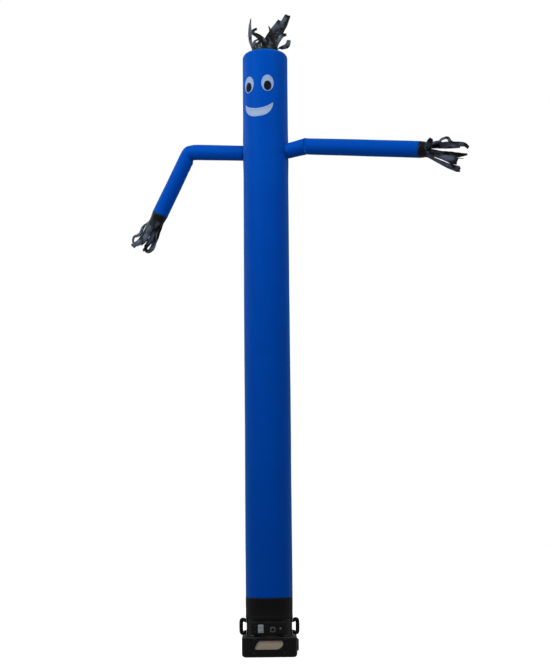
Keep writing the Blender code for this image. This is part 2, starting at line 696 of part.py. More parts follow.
def control_panel(parts, cutters, materials):
    low = (PANEL_X[0], PANEL_FRONT_Y, PANEL_Z[0])
    high = (PANEL_X[1], PANEL_FRONT_Y + 0.10, PANEL_Z[1])
    mesh = box_mesh("control_panel", low, high)
    bevel_edges(mesh, lambda a, b: abs(a.y - b.y) > 0.05, 0.012, 3)
    bevel_edges(mesh, lambda a, b: max(a.y, b.y) < PANEL_FRONT_Y + MM, 0.003, 1)
    smooth(mesh)
    panel = add_mesh_object("control_panel", mesh, parts, materials["black_plastic"])
    drum_core = cylinder_mesh("panel_back", DRUM_RADIUS + GAP, 0.4, 2 * DRUM_STEPS)
    core_cutter = add_mesh_object("panel_back", drum_core, cutters)
    core_cutter.location.z = sum(PANEL_Z) / 2
    cut(panel, core_cutter, "panel_back")
    bore = cylinder_mesh("button_bore", BUTTON_RADIUS + GAP, 0.06, 16, "Y")
    bore_cutter = add_mesh_object("button_bore", bore, cutters)
    bore_cutter.location = (BUTTON_X, PANEL_FRONT_Y - 0.03 + BUTTON_LENGTH, BUTTON_Z)
    cut(panel, bore_cutter, "button_bore")


def face_plate(name, x, z, size, corner, parts, material):
    """A rounded plate on the panel's face."""
    back = PANEL_FRONT_Y - GAP
    half_width = size[0] / 2
    half_height = size[1] / 2
    mesh = box_mesh(name, (x - half_width, back - PLATE_THICKNESS, z - half_height),
                    (x + half_width, back, z + half_height))
    bevel_edges(mesh, lambda a, b: abs(a.y - b.y) > MM, corner, 3)
    return add_mesh_object(name, mesh, parts, material)


def fittings(parts, materials):
    plate_front = PANEL_FRONT_Y - GAP - PLATE_THICKNESS
    face_plate("outlet_plate", OUTLET_X, OUTLET_Z, OUTLET_SIZE, OUTLET_CORNER, parts,
               materials["grey_plastic"])
    for place, direction in (("upper", 1), ("lower", -1)):
        mesh = cylinder_mesh(f"outlet_{place}", OUTLET_FACE_RADIUS, 2 * MM, 20, "Y")
        socket = add_mesh_object(f"outlet_{place}", mesh, parts, materials["grey_plastic"])
        socket.location = (OUTLET_X, plate_front - GAP - MM, OUTLET_Z + direction * OUTLET_FACE_SPREAD)
    face_plate("dial_plate", DIAL_X, DIAL_Z, (DIAL_PLATE, DIAL_PLATE), DIAL_CORNER, parts,
               materials["grey_plastic"])
    knob(plate_front, parts, materials)
    reset_button(parts, materials)


def knob(plate_front, parts, materials):
    """The switch knob, whose origin is on its axis at its back face."""
    mesh = cylinder_mesh("switch_knob", KNOB_RADIUS, KNOB_DEPTH * 0.55, 24, "Y")
    shape = bmesh.new()
    shape.from_mesh(mesh)
    bmesh.ops.translate(shape, vec=(0.0, -KNOB_DEPTH * 0.275, 0.0), verts=shape.verts)
    shape.to_mesh(mesh)
    shape.free()
    item = add_mesh_object("switch_knob", mesh, parts, materials["black_plastic"])
    item.location = (DIAL_X, plate_front - GAP, DIAL_Z)
    bar_half = KNOB_RADIUS * 0.30
    low = (-bar_half, -KNOB_DEPTH, -KNOB_RADIUS * 0.9)
    high = (bar_half, -KNOB_DEPTH * 0.2, KNOB_RADIUS * 0.9)
    grip = add_mesh_object("knob_grip", box_mesh("knob_grip", low, high), bpy.data.collections[CUTTERS])
    grip.location = item.location
    grip.hide_render = True
    grip.display_type = "WIRE"
    joined = item.modifiers.new("grip", "BOOLEAN")
    joined.operation = "UNION"
    joined.solver = "EXACT"
    joined.object = grip


def reset_button(parts, materials):
    """A round button in a bezel; it slides along Y into the bore behind it."""
    mesh = cylinder_mesh("reset_button", BUTTON_RADIUS, BUTTON_LENGTH, 16, "Y")
    button = add_mesh_object("reset_button", mesh, parts, materials["grey_plastic"])
    button.location = (BUTTON_X, PANEL_FRONT_Y - BUTTON_PROUD + BUTTON_LENGTH / 2, BUTTON_Z)
    back = PANEL_FRONT_Y - GAP
    bore = BUTTON_RADIUS + GAP
    profile = [
        (BEZEL_RADIUS - 0.002, BEZEL_DEPTH),
        (BEZEL_RADIUS, BEZEL_DEPTH - 0.002),
        (BEZEL_RADIUS, 0.0),
        (bore, 0.0),
        (bore, BEZEL_DEPTH),
    ]
    bezel = turned_object("reset_bezel", profile, 24, parts, materials["steel"])
    bezel.location = (BUTTON_X, back, BUTTON_Z)
    bezel.rotation_euler = (pi / 2, 0.0, 0.0)


def side_cover(parts, materials):
    """A shallow round cover on the right side of the block."""
    mesh = cylinder_mesh("side_cover", SIDE_COVER_RADIUS, SIDE_COVER_DEPTH, 28, "X",
                         SIDE_COVER_RADIUS * 0.90)
    bevel_edges(mesh, lambda a, b: min(a.x, b.x) > 0, SIDE_COVER_ROUND, 3)
    smooth(mesh)
    cover = add_mesh_object("side_cover", mesh, parts, materials["black_plastic"])
    cover.location = (BASE_WIDTH / 2 + GAP + SIDE_COVER_DEPTH / 2, 0.0, SIDE_COVER_Z)


def screws(parts, materials):
    for screw in SCREWS:
        mesh = cylinder_mesh(screw.name, SCREW_RADIUS, SCREW_HEAD, 12, "Y")
        head = add_mesh_object(screw.name, mesh, parts, materials["steel"])
        head.location = (screw.x, screw.front - GAP - SCREW_HEAD / 2, screw.z)


# ---------------------------------------------------------------- everything together


def main():
    clear_scene()
    parts = make_collection(PARTS)
    cutters = make_collection(CUTTERS)
    materials = make_materials()
    dancer = bpy.data.objects.new("dancer_turn", None)
    parts.objects.link(dancer)
    dancer.rotation_euler.z = DANCER_TURN

    tube_body(parts, cutters, materials, dancer)
    base_band(parts, materials, dancer)
    head_cap(parts, materials, dancer)
    face_patches(parts, materials, dancer)
    arm("right", RIGHT_ARM, RIGHT_ARM_SEAMS, 1, parts, materials, dancer)
    arm("left", LEFT_ARM, LEFT_ARM_SEAMS, -1, parts, materials, dancer)
    head_fringe(parts, materials)
    arm_fringe("right_fringe", RIGHT_ARM, 1, RIGHT_STRIPS, parts, materials, dancer)
    arm_fringe("left_fringe", LEFT_ARM, -1, LEFT_STRIPS, parts, materials, dancer)

    base_block(parts, cutters, materials)
    intake_screen(parts, materials)
    drum(parts, materials)
    handle("handle_left", -1, parts, materials)
    handle("handle_right", 1, parts, materials)
    control_panel(parts, cutters, materials)
    fittings(parts, materials)
    side_cover(parts, materials)
    screws(parts, materials)


main()
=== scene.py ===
"""The looks of an inflatable air dancer on its blower.

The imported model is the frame. Most of the blower's hard parts keep their CAD shapes and get materials and
softer edges. Its handles, sockets, screws and intake screen are built again here, finer, and so is each
piece of cloth, as thin, sewn, gathered cloth with strips that curl. Metres, +Z up, the front faces -Y.
"""

from collections import namedtuple
from math import atan2, cos, exp, hypot, pi, radians, sin, sqrt, tan, tau

import bmesh
import bpy
from mathutils import Matrix, Quaternion, Vector, noise


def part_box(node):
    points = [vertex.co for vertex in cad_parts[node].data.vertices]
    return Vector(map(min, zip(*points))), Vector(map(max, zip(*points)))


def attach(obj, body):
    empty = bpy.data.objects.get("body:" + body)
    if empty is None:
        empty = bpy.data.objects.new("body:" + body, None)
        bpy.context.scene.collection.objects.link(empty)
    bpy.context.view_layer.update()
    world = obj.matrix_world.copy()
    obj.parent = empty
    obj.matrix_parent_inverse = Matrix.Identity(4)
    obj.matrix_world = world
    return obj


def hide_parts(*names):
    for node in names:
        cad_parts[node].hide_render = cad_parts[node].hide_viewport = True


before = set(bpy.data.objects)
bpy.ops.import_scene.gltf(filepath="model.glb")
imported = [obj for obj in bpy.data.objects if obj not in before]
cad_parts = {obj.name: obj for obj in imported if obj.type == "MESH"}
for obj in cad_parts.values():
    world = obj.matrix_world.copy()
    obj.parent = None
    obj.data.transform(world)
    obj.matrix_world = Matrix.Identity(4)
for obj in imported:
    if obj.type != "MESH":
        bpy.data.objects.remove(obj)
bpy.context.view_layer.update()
BODY = "dancer_and_blower"

# How thick the cloth is, and how far a patch stands off the cloth under it.
CLOTH = 0.001
PATCH_GAP = 0.0006

# The dancer is turned a little to its right on the blower.
DANCER_TURN = Matrix.Rotation(radians(-20), 4, "Z")

# The tube, from the black band over the blower's collar to the crown of the head.
TUBE_RADIUS = 0.2285
TUBE_GIRTH = tau * TUBE_RADIUS
TUBE_COLUMNS = 120
BAND_FOOT_Z = 0.355
BAND_HEM = 0.028
BAND_SEAM_Z = 0.555
COLLAR_TOP_Z = 0.430
COLLAR_FIT_RADIUS = 0.2278
SHOULDER_Z = 5.9816
SHOULDER_ROUND = 0.055
SHOULDER_ROWS = 4
CAP_SEAM_TURN = radians(45)
CAP_SLOPE = radians(14)
CAP_ROUND_ROWS = 6
CAP_SLOPE_ROWS = 9
VENT_RADIUS = 0.134

# The face, in arc lengths round the tube from its middle.
EYE_SPREAD = 0.104
EYE_Z = 5.664
EYE_HALF_WIDTH = 0.063
EYE_HALF_HEIGHT = 0.085
PUPIL_Z = 5.638
PUPIL_HALF_WIDTH = 0.038
PUPIL_HALF_HEIGHT = 0.050
MOUTH_HALF_WIDTH = 0.160
MOUTH_CORNER_Z = 5.465
MOUTH_TOP_Z = 5.406
MOUTH_FOOT_Z = 5.322
PATCH_COLUMNS = 44
PATCH_ROWS = 14

# The arms are round sleeves through these sections. Reach is measured from the tube's axis, and lean is
# how far the sleeve points above level there.
ARM_COLUMNS = 64
ARM_ROW = 0.012
ARM_SEAM_GIRTH = tau * 0.08
LONGEST_BEND = 0.09
ArmSection = namedtuple("ArmSection", "reach height radius lean")
RIGHT_ARM = [ArmSection(*section) for section in (
    (0.235, 4.995, 0.0770, 9),
    (0.330, 5.010, 0.0790, 9),
    (0.425, 5.025, 0.0835, 3),
    (0.465, 5.020, 0.0815, -7),
    (0.980, 4.956, 0.0830, -7),
    (1.604, 4.876, 0.0830, -7),
)]
LEFT_ARM = [ArmSection(*section) for section in (
    (0.235, 5.018, 0.0770, 6),
    (0.500, 5.050, 0.0780, 6),
    (0.735, 5.077, 0.0790, 5),
    (0.800, 5.080, 0.0790, -8),
    (0.842, 5.069, 0.0820, -30),
    (0.877, 5.015, 0.0800, -56),
    (0.905, 4.960, 0.0800, -62),
    (1.040, 4.706, 0.0820, -62),
    (1.174, 4.457, 0.0830, -62),
)]
# A crease across a sleeve: its reach, its depth, its width along the sleeve, the side it bites into, 180
# for the underside, and how far it spreads round from there.
Crease = namedtuple("Crease", "reach depth width side spread")
RIGHT_CREASES = [Crease(0.440, 0.0035, 0.014, 180, 150)]
LEFT_CREASES = [Crease(0.852, 0.011, 0.014, 180, 165), Crease(0.826, 0.004, 0.012, 180, 80)]

# A fringe is one cloth comb: an uncut cuff round an air outlet and the strips cut into it. Each strip
# is a list of folds. A fold turns the strip to a new heading over its length: rise is the heading's
# angle above the plane of the outlet and bearing its direction round it, 0 to the front and 90 to the
# right of the head. Width is the strip's width at the end of the fold, and roll its twist over it.
Fold = namedtuple("Fold", "length rise bearing width roll")
FOLD_STEPS = 7
CUFF_ROWS = 7
STRIP_COLUMNS = 8
HEAD_CUFF = 0.035
ARM_CUFF = 0.070
ARM_CUFF_END_RADIUS = 0.0745
HEAD_STRIPS = [
    # Front: crosses to the left over the low ones and hooks back.
    [(0.045, 62, 325, 0.058, 0), (0.135, 26, 266, 0.050, 40), (0.022, 80, 268, 0.036, 0),
     (0.055, 8, 85, 0.026, 0)],
    [(0.050, 84, 60, 0.062, 0), (0.050, 40, 330, 0.050, 0), (0.040, -20, 300, 0.040, 0)],
    # Curls over to the front.
    [(0.120, 70, 285, 0.058, 0), (0.060, 60, 310, 0.064, 0), (0.045, 10, 345, 0.056, 0),
     (0.030, -50, 350, 0.048, 0)],
    # The hook on the right.
    [(0.045, 8, 90, 0.054, 60), (0.060, 26, 90, 0.056, 25), (0.070, 88, 95, 0.040, 0)],
    [(0.080, 72, 70, 0.060, 0), (0.090, 60, 70, 0.070, 20), (0.060, 0, 85, 0.040, 0)],
    # The tall tail on the right.
    [(0.090, 70, 90, 0.080, 0), (0.110, 64, 90, 0.106, 0), (0.140, 63, 92, 0.108, 0),
     (0.115, 68, 95, 0.072, 0)],
    [(0.080, 82, 180, 0.066, 0), (0.140, 54, 94, 0.084, 0), (0.100, 60, 95, 0.080, 0),
     (0.100, 62, 95, 0.044, 0)],
    [(0.070, 84, 210, 0.060, 0), (0.050, 60, 240, 0.050, 0), (0.050, 0, 250, 0.036, 0)],
    [(0.090, 68, 268, 0.052, 0), (0.080, 78, 268, 0.034, 20), (0.030, 20, 268, 0.012, 0)],
    # The tall thin tail on the left.
    [(0.090, 76, 270, 0.058, 30), (0.090, 88, 270, 0.050, 20), (0.090, 94, 270, 0.034, 0),
     (0.075, 97, 270, 0.010, 0)],
    [(0.055, 82, 300, 0.055, 0), (0.050, 20, 80, 0.048, 0), (0.040, -10, 80, 0.036, 0)],
    [(0.040, 76, 150, 0.055, 0), (0.045, 40, 120, 0.050, 0), (0.040, -10, 110, 0.036, 0)],
]
# On the arms the bearing is 0 to the front, 90 downwards on the right arm and outwards on the left.
RIGHT_STRIPS = [
    # Folded up across the front of the cuff.
    [(0.025, 40, 345, 0.058, 0), (0.070, 22, 285, 0.056, 60), (0.030, 30, 272, 0.040, 0)],
    # The broad end of the lowest tail.
    [(0.100, 80, 70, 0.046, -25), (0.090, 74, 84, 0.054, -20), (0.100, 74, 90, 0.078, 0),
     (0.050, 78, 90, 0.064, 0)],
    [(0.100, 68, 90, 0.042, -50), (0.110, 66, 90, 0.046, -30), (0.130, 75, 90, 0.062, 0),
     (0.030, 80, 90, 0.050, 0)],
    [(0.120, 86, 80, 0.046, -20), (0.120, 88, 85, 0.042, -25), (0.120, 86, 95, 0.024, 0)],
    # The middle tail.
    [(0.100, 78, 110, 0.058, 0), (0.110, 87, 92, 0.062, 0), (0.100, 90, 90, 0.046, 15),
     (0.080, 98, 90, 0.018, 0)],
    [(0.100, 84, 190, 0.048, -20), (0.110, 88, 180, 0.046, -20), (0.100, 86, 200, 0.028, 0)],
    # The upper tail, whose tip droops.
    [(0.090, 76, 90, 0.056, -45), (0.120, 93, 90, 0.066, -30), (0.120, 95, 90, 0.050, 0),
     (0.040, 84, 90, 0.042, 0), (0.055, 38, 90, 0.028, 0)],
    # The loop on top of it.
    [(0.120, 82, 285, 0.046, 15), (0.036, 28, 275, 0.040, 0), (0.066, 86, 270, 0.038, 0),
     (0.040, 26, 92, 0.036, 0), (0.080, 88, 90, 0.026, 0)],
]
LEFT_STRIPS = [
    # The broad dark ones in the middle.
    [(0.160, 87, 290, 0.060, 0), (0.080, 72, 85, 0.066, 0), (0.085, 48, 88, 0.060, 0),
     (0.060, 36, 90, 0.030, 0)],
    [(0.130, 90, 45, 0.042, -20), (0.110, 86, 85, 0.046, -20), (0.120, 66, 90, 0.040, 0)],
    # The outer tail, which hangs clear and ends in a small loop.
    [(0.110, 60, 90, 0.046, -60), (0.085, 104, 90, 0.046, -25), (0.080, 34, 90, 0.032, 0),
     (0.060, 120, 90, 0.026, 0), (0.035, 185, 90, 0.020, 0)],
    [(0.110, 84, 230, 0.040, -25), (0.110, 88, 95, 0.040, -20), (0.090, 66, 90, 0.030, 0)],
    [(0.120, 88, 170, 0.058, 0), (0.120, 84, 90, 0.056, 0), (0.110, 74, 90, 0.036, 20)],
    [(0.110, 84, 200, 0.048, -20), (0.100, 84, 150, 0.050, -20), (0.090, 78, 100, 0.036, 0)],
    # The lower tail, which ends in a loop.
    [(0.120, 84, 90, 0.050, -50), (0.085, 74, 270, 0.062, -30), (0.070, 80, 270, 0.060, 0),
     (0.060, 52, 90, 0.046, 0), (0.035, -20, 90, 0.036, 0), (0.050, -70, 90, 0.024, 0)],
    [(0.110, 88, 180, 0.042, 15), (0.110, 84, 120, 0.044, 15), (0.080, 74, 110, 0.036, 0)],
]

# The handles' middle line, as how far out from the drum's axis it is and how high.
HANDLE_PATH = [(0.2232, 0.3315), (0.2300, 0.3315), (0.2440, 0.3395), (0.2560, 0.3445), (0.2675, 0.3405),
               (0.2740, 0.3285), (0.2740, 0.2270), (0.2675, 0.2155), (0.2570, 0.2115), (0.2450, 0.2180),
               (0.2300, 0.2240), (0.2232, 0.2240)]
# How wide the moulded edges are rounded.
BEVELS = {"blower_base": 0.0016, "blower_drum": 0.0012, "control_panel": 0.0012, "side_cover": 0.0030}
SMALL_BEVEL = 0.0006

# The view: a camera standing back from the dancer, level with its waist and looking up a little.
CAMERA_PLACE = Vector((0.0, -14.0, 1.2329))
CAMERA_YAW = -0.0056188
CAMERA_PITCH = 0.134087
CAMERA_ROLL = -0.0085811
CAMERA_LENS = 50.52
CAMERA_SENSOR = 24.0

# The studio: white walls and a white floor that look brighter than they light, and three soft lamps.
WALL_LIGHT = 0.30
FLOOR_GLOW = 0.80
FLOOR_REACH = 60.0
Lamp = namedtuple("Lamp", "name place target size power colour")
LAMPS = [
    Lamp("key", (-4.4, -3.6, 8.0), (0.0, 0.0, 4.6), 2.5, 290.0, (0.88, 1.0, 0.98)),
    Lamp("rim", (-5.5, 3.0, 6.5), (0.0, 0.0, 3.5), 3.0, 60.0, (0.62, 0.90, 1.0)),
    Lamp("fill", (4.0, -4.4, 8.2), (0.0, 0.0, 4.6), 2.5, 180.0, (0.90, 0.98, 1.0)),
]

# The weave's thicker threads, and a seam: its fold, its two rows of stitches and how far it gathers.
THREAD_PITCH = 0.008
THREAD_WIDTH = 0.0007
SEAM_FOLD = 0.0165
STITCH_MIDDLE = 0.0075
STITCH_SPACING = 0.004
STITCH_LENGTH = 0.0022
GATHER_REACH = 0.055


WHITE = (1.0, 1.0, 1.0)


# ---------------------------------------------------------------- shaders


class Shader:
    """A material under construction, with its Principled shader as main."""

    def __init__(self, name, colour, roughness, **sockets):
        self.material = bpy.data.materials.new(name)
        self.material.use_nodes = True
        self.tree = self.material.node_tree
        self.main = self.tree.nodes["Principled BSDF"]
        self.set("Base Color", (*colour, 1.0))
        self.set("Roughness", roughness)
        for socket, value in sockets.items():
            self.set(socket.replace("_", " "), value)

    def set(self, socket, value):
        names = {name.lower(): name for name in self.main.inputs.keys()}
        target = self.main.inputs[names[socket.lower()]]
        if isinstance(value, bpy.types.NodeSocket):
            self.tree.links.new(value, target)
        else:
            target.default_value = value

    def node(self, kind, *inputs, **settings):
        """A node whose first inputs are given in order; None leaves one as it is."""
        made = self.tree.nodes.new(kind)
        for key, value in settings.items():
            setattr(made, key, value)
        for place, value in enumerate(inputs):
            if isinstance(value, bpy.types.NodeSocket):
                self.tree.links.new(value, made.inputs[place])
            elif value is not None:
                made.inputs[place].default_value = value
        return made

    def place(self):
        return self.node("ShaderNodeTexCoord").outputs["Object"]

    def math(self, operation, *inputs):
        return self.node("ShaderNodeMath", *inputs, operation=operation).outputs[0]

    def noise(self, vector, scale, detail=2.0):
        made = self.node("ShaderNodeTexNoise", vector)
        made.inputs["Scale"].default_value = scale
        made.inputs["Detail"].default_value = detail
        return made.outputs["Fac"]

    def ramp(self, value, low, high, to_low=0.0, to_high=1.0):
        return self.node("ShaderNodeMapRange", value, low, high, to_low, to_high).outputs[0]

    def blend(self, share, first, second):
        made = self.node("ShaderNodeMix", data_type="RGBA")
        self.tree.links.new(share, made.inputs[0])
        for place, value in ((6, first), (7, second)):
            if isinstance(value, bpy.types.NodeSocket):
                self.tree.links.new(value, made.inputs[place])
            else:
                made.inputs[place].default_value = (*value, 1.0)
        return made.outputs[2]

    def bump(self, height, depth, before=None):
        made = self.node("ShaderNodeBump")
        made.inputs["Strength"].default_value = 1.0
        made.inputs["Distance"].default_value = depth
        self.tree.links.new(height, made.inputs["Height"])
        if before is not None:
            self.tree.links.new(before, made.inputs["Normal"])
        return made.outputs["Normal"]


def threads(make, spot):
    """1 on the thicker threads that cross the cloth, 0 between them."""
    lines = []
    parts = make.node("ShaderNodeSeparateXYZ", spot)
    for axis in range(2):
        away = make.math("PINGPONG", parts.outputs[axis], THREAD_PITCH / 2)
        lines.append(make.ramp(away, THREAD_WIDTH, THREAD_WIDTH * 0.4))
    return make.math("MAXIMUM", *lines)


def cloth_material(name, colour, worn, thread, roughness, gloss, sheen=0.0, glint=WHITE, painted_highlight=None):
    """Coated nylon: a fine weave with ripstop threads, gathers and two rows of stitches at a seam, and
    painted shade along the edge of the seam's fold. glint tints its gloss and sheen; the last argument is
    the colour of painted
    highlight: paler patches away from the cuff that stand in for light on the shiny nylon."""
    make = Shader(name, colour, roughness, sheen_weight=sheen, sheen_roughness=0.4,
                  sheen_tint=(*glint, 1.0), specular_ior_level=gloss, specular_tint=(*glint, 1.0))
    spot = make.node("ShaderNodeUVMap").outputs[0]
    place = make.place()
    gap = make.node("ShaderNodeAttribute", attribute_name="seam_gap").outputs["Fac"]
    run = make.node("ShaderNodeAttribute", attribute_name="seam_run").outputs["Fac"]

    broad = make.noise(place, 2.5, 3.0)
    grain = make.noise(spot, 260.0, 1.0)
    near = make.ramp(gap, GATHER_REACH, 0.0)
    stitch_rows = make.math("PINGPONG", make.math("SUBTRACT", gap, STITCH_MIDDLE), STITCH_SPACING)
    in_row = make.math("MULTIPLY", make.ramp(stitch_rows, 0.0031, 0.0035), make.ramp(gap, 0.0135, 0.0130))
    dash = make.ramp(make.math("PINGPONG", run, STITCH_LENGTH), 0.0005, 0.0008)
    stitches = make.math("MULTIPLY", in_row, dash)
    # Where the painted shade lies: a thin band along the edge of the seam's fold.
    painted_fold_shade = make.math("MULTIPLY", make.ramp(gap, 0.0150, 0.0160), make.ramp(gap, 0.0185, SEAM_FOLD))

    tint = make.blend(make.ramp(broad, 0.35, 0.70), colour, worn)
    tint = make.blend(make.math("MULTIPLY", threads(make, spot), 0.25), tint, worn)
    # Painted highlight: paler patches away from the cuff stand in for light glancing off shiny nylon.
    if painted_highlight is not None:
        up_sheet = make.node("ShaderNodeSeparateXYZ", spot).outputs[1]
        painted_highlight_share = make.math("MULTIPLY", make.ramp(make.noise(place, 9.0, 1.0), 0.47, 0.60),
                           make.ramp(up_sheet, 0.055, 0.100))
        tint = make.blend(painted_highlight_share, tint, painted_highlight)
    # Painted shade along the edge of the seam's fold.
    tint = make.blend(make.math("MULTIPLY", painted_fold_shade, 0.55), tint, tuple(part * 0.45 for part in colour))
    tint = make.blend(stitches, tint, thread)
    make.set("Base Color", tint)
    make.set("Roughness", make.ramp(broad, 0.3, 0.7, roughness - 0.06, roughness + 0.06))

    crinkle = make.node("ShaderNodeCombineXYZ", make.math("MULTIPLY", run, 55.0),
                        make.math("MULTIPLY", gap, 9.0)).outputs[0]
    gathers = make.math("MULTIPLY", make.noise(crinkle, 1.0, 2.0), near)
    folded = make.math("SUBTRACT", make.ramp(gap, SEAM_FOLD, 0.0145), in_row)
    normal = None
    for height, depth in ((gathers, 0.006), (make.noise(place, 16.0, 4.0), 0.0022),
                          (threads(make, spot), 0.00012), (grain, 0.00010), (folded, 0.0006)):
        normal = make.bump(height, depth, normal)
    make.set("Normal", normal)
    return make.material


def plastic_material(name, colour, paler_tint, roughness, gloss):
    """Moulded plastic with a fine grain, a paler tint on its upward faces and in small scuffs, and uneven
    gloss.
    """
    make = Shader(name, colour, roughness, specular_ior_level=gloss)
    place = make.place()
    up = make.node("ShaderNodeSeparateXYZ", make.node("ShaderNodeNewGeometry").outputs["Normal"]).outputs[2]
    patchy = make.noise(place, 14.0, 4.0)
    # Paler on the faces that point up, in patches.
    paler_facing_up = make.math("MULTIPLY", make.ramp(up, 0.15, 0.80), make.ramp(patchy, 0.25, 0.60))
    scuffs = make.ramp(make.noise(place, 45.0, 6.0), 0.60, 0.74)
    tint = make.blend(make.math("MULTIPLY", paler_facing_up, 0.7), colour, paler_tint)
    tint = make.blend(make.math("MULTIPLY", scuffs, 0.16), tint, paler_tint)
    make.set("Base Color", tint)
    make.set("Roughness", make.ramp(patchy, 0.3, 0.7, roughness - 0.10, roughness + 0.12))
    normal = make.bump(make.noise(place, 1400.0, 1.0), 0.00006)
    make.set("Normal", make.bump(patchy, 0.0004, normal))
    return make.material


def steel_material():
    make = Shader("dark_steel", (0.060, 0.060, 0.062), 0.35, metallic=1.0)
    place = make.place()
    worn = make.noise(place, 300.0, 3.0)
    make.set("Roughness", make.ramp(worn, 0.3, 0.7, 0.25, 0.50))
    make.set("Normal", make.bump(worn, 0.00005))
    return make.material


def floor_material():
    make = Shader("pale_floor", (0.86, 0.86, 0.86), 0.85, specular_ior_level=0.1,
                  emission_color=(*WHITE, 1.0), emission_strength=FLOOR_GLOW)
    place = make.place()
    make.set("Base Color", make.blend(make.noise(place, 0.8, 2.0), (0.85, 0.85, 0.85), (0.87, 0.87, 0.87)))
    return make.material


MATERIALS = {
    "blue_cloth": cloth_material(
        "blue_nylon", (0.0002, 0.058, 0.420), (0.0003, 0.065, 0.440), (0.001, 0.09, 0.48),
        roughness=0.50, gloss=0.08, sheen=0.40, glint=(0.03, 0.60, 1.0)),
    "black_cloth": cloth_material(
        "black_nylon", (0.0036, 0.0036, 0.0042), (0.0052, 0.0054, 0.0064), (0.016, 0.017, 0.020),
        roughness=0.50, gloss=0.14),
    # The tails get painted highlight: paler patches away from the cuff.
    "tail_cloth": cloth_material(
        "black_tail_nylon", (0.0014, 0.0018, 0.0028), (0.0026, 0.0032, 0.0046), (0.010, 0.012, 0.016),
        roughness=0.34, gloss=0.24, painted_highlight=(0.066, 0.076, 0.115)),
    "white_cloth": cloth_material(
        "white_nylon", (0.34, 0.43, 0.65), (0.30, 0.38, 0.60), (0.40, 0.50, 0.66),
        roughness=0.55, gloss=0.10),
    "pupil_cloth": cloth_material(
        "pupil_nylon", (0.0016, 0.0030, 0.0110), (0.002, 0.004, 0.013), (0.02, 0.02, 0.03),
        roughness=0.50, gloss=0.10),
    "black_plastic": plastic_material(
        "black_moulding", (0.0020, 0.0020, 0.0023), (0.060, 0.060, 0.063), roughness=0.30, gloss=0.22),
    "grey_plastic": plastic_material(
        "grey_moulding", (0.34, 0.36, 0.40), (0.38, 0.38, 0.38), roughness=0.48, gloss=0.40),
    "dark_grey_plastic": plastic_material(
        "dark_grey_moulding", (0.11, 0.11, 0.11), (0.14, 0.14, 0.14), roughness=0.45, gloss=0.40),
    # Painted shade for the sockets' slots and earth hole.
    "painted_slot_shade": plastic_material(
        "socket_slot", (0.02, 0.02, 0.02), (0.02, 0.02, 0.02), roughness=0.60, gloss=0.20),
    "printed_mark": plastic_material(
        "printed_mark", (0.30, 0.30, 0.30), (0.26, 0.26, 0.26), roughness=0.60, gloss=0.30),
    "screen_mesh": plastic_material(
        "intake_wire", (0.58, 0.48, 0.40), (0.62, 0.54, 0.47), roughness=0.62, gloss=0.30),
    "dark_steel": steel_material(),
}


# ---------------------------------------------------------------- cloth pieces


def round_point(radius, turn, height):
    """A point round an upright axis, where a turn of 0 is to the front and a quarter turn to the right."""
    return Vector((radius * sin(turn), -radius * cos(turn), height))


def around_faces(rows, columns):
    """The faces between rows of points that go right round, with columns points to a row."""
    faces = []
    for low in range(0, (rows - 1) * columns, columns):
        high = low + columns
        for column in range(columns):
            beside = (column + 1) % columns
            faces.append((low + column, low + beside, high + beside, high + column))
    return faces


def add_piece(name, points, faces, look, *nodes):
    """A mesh piece that rides on the dancer and blower and stands for the given CAD nodes."""
    mesh = bpy.data.meshes.new(name)
    mesh.from_pydata(points, [], faces)
    mesh.polygons.foreach_set("use_smooth", [True] * len(mesh.polygons))
    mesh.materials.append(MATERIALS[look])
    item = bpy.data.objects.new(name, mesh)
    bpy.context.scene.collection.objects.link(item)
    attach(item, BODY)
    if nodes:
        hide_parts(*nodes)
    return item


def add_cloth(name, points, faces, corner_uvs, seams, look, *nodes):
    """A cloth piece with its thread directions, its distance from its seams, and its thickness."""
    item = add_piece(name, points, faces, look, *nodes)
    mesh = item.data
    layer = mesh.uv_layers.new(name="UVMap")
    layer.data.foreach_set("uv", [part for corner in corner_uvs for part in corner])
    for place, attribute in enumerate(("seam_gap", "seam_run")):
        values = mesh.attributes.new(attribute, "FLOAT", "POINT")
        values.data.foreach_set("value", [seam[place] for seam in seams])
    solid = item.modifiers.new("cloth", "SOLIDIFY")
    solid.thickness = CLOTH
    solid.offset = -1.0
    return item


def round_cloth(name, rows, girth, heights, seam, look, *nodes, keep=None):
    """Cloth that goes right round: rows of points from its foot up, and a face between each four where
    keep(row, column) allows it. seam(row, column) gives a point's distance from a seam and along it."""
    columns = len(rows[0])
    points = [point for row in rows for point in row]
    seams = [seam(row, column) for row in range(len(rows)) for column in range(columns)]
    faces = []
    corner_uvs = []
    for number, one_face in enumerate(around_faces(len(rows), columns)):
        row, column = divmod(number, columns)
        if keep is None or keep(row, column):
            faces.append(one_face)
            for up, over in ((0, 0), (0, 1), (1, 1), (1, 0)):
                corner_uvs.append((girth * (column + over) / columns, heights[row + up]))
    return add_cloth(name, points, faces, corner_uvs, seams, look, *nodes)


def ease(value, low, high):
    """0 below low, 1 above high and a smooth rise between."""
    share = min(1.0, max(0.0, (value - low) / (high - low)))
    return share * share * (3 - 2 * share)


def spaced(low, high, fine, coarse, margin):
    """Heights from low to high, close together within margin of either end."""
    found = [low]
    while found[-1] < high - fine * 1.5:
        near_end = min(found[-1] - low, high - found[-1]) < margin
        found.append(found[-1] + (fine if near_end else coarse))
    found[-1] = high
    return found


def ruffle(along, gap, seed, depth, reach):
    """Gathers that run away from a seam and fade within reach of it."""
    waves = noise.noise(Vector((along * 19.0, gap * 2.0, seed))) + 0.5 * noise.noise(
        Vector((along * 41.0, gap * 5.0, seed + 7.0)))
    return depth * waves * exp(-gap / reach)


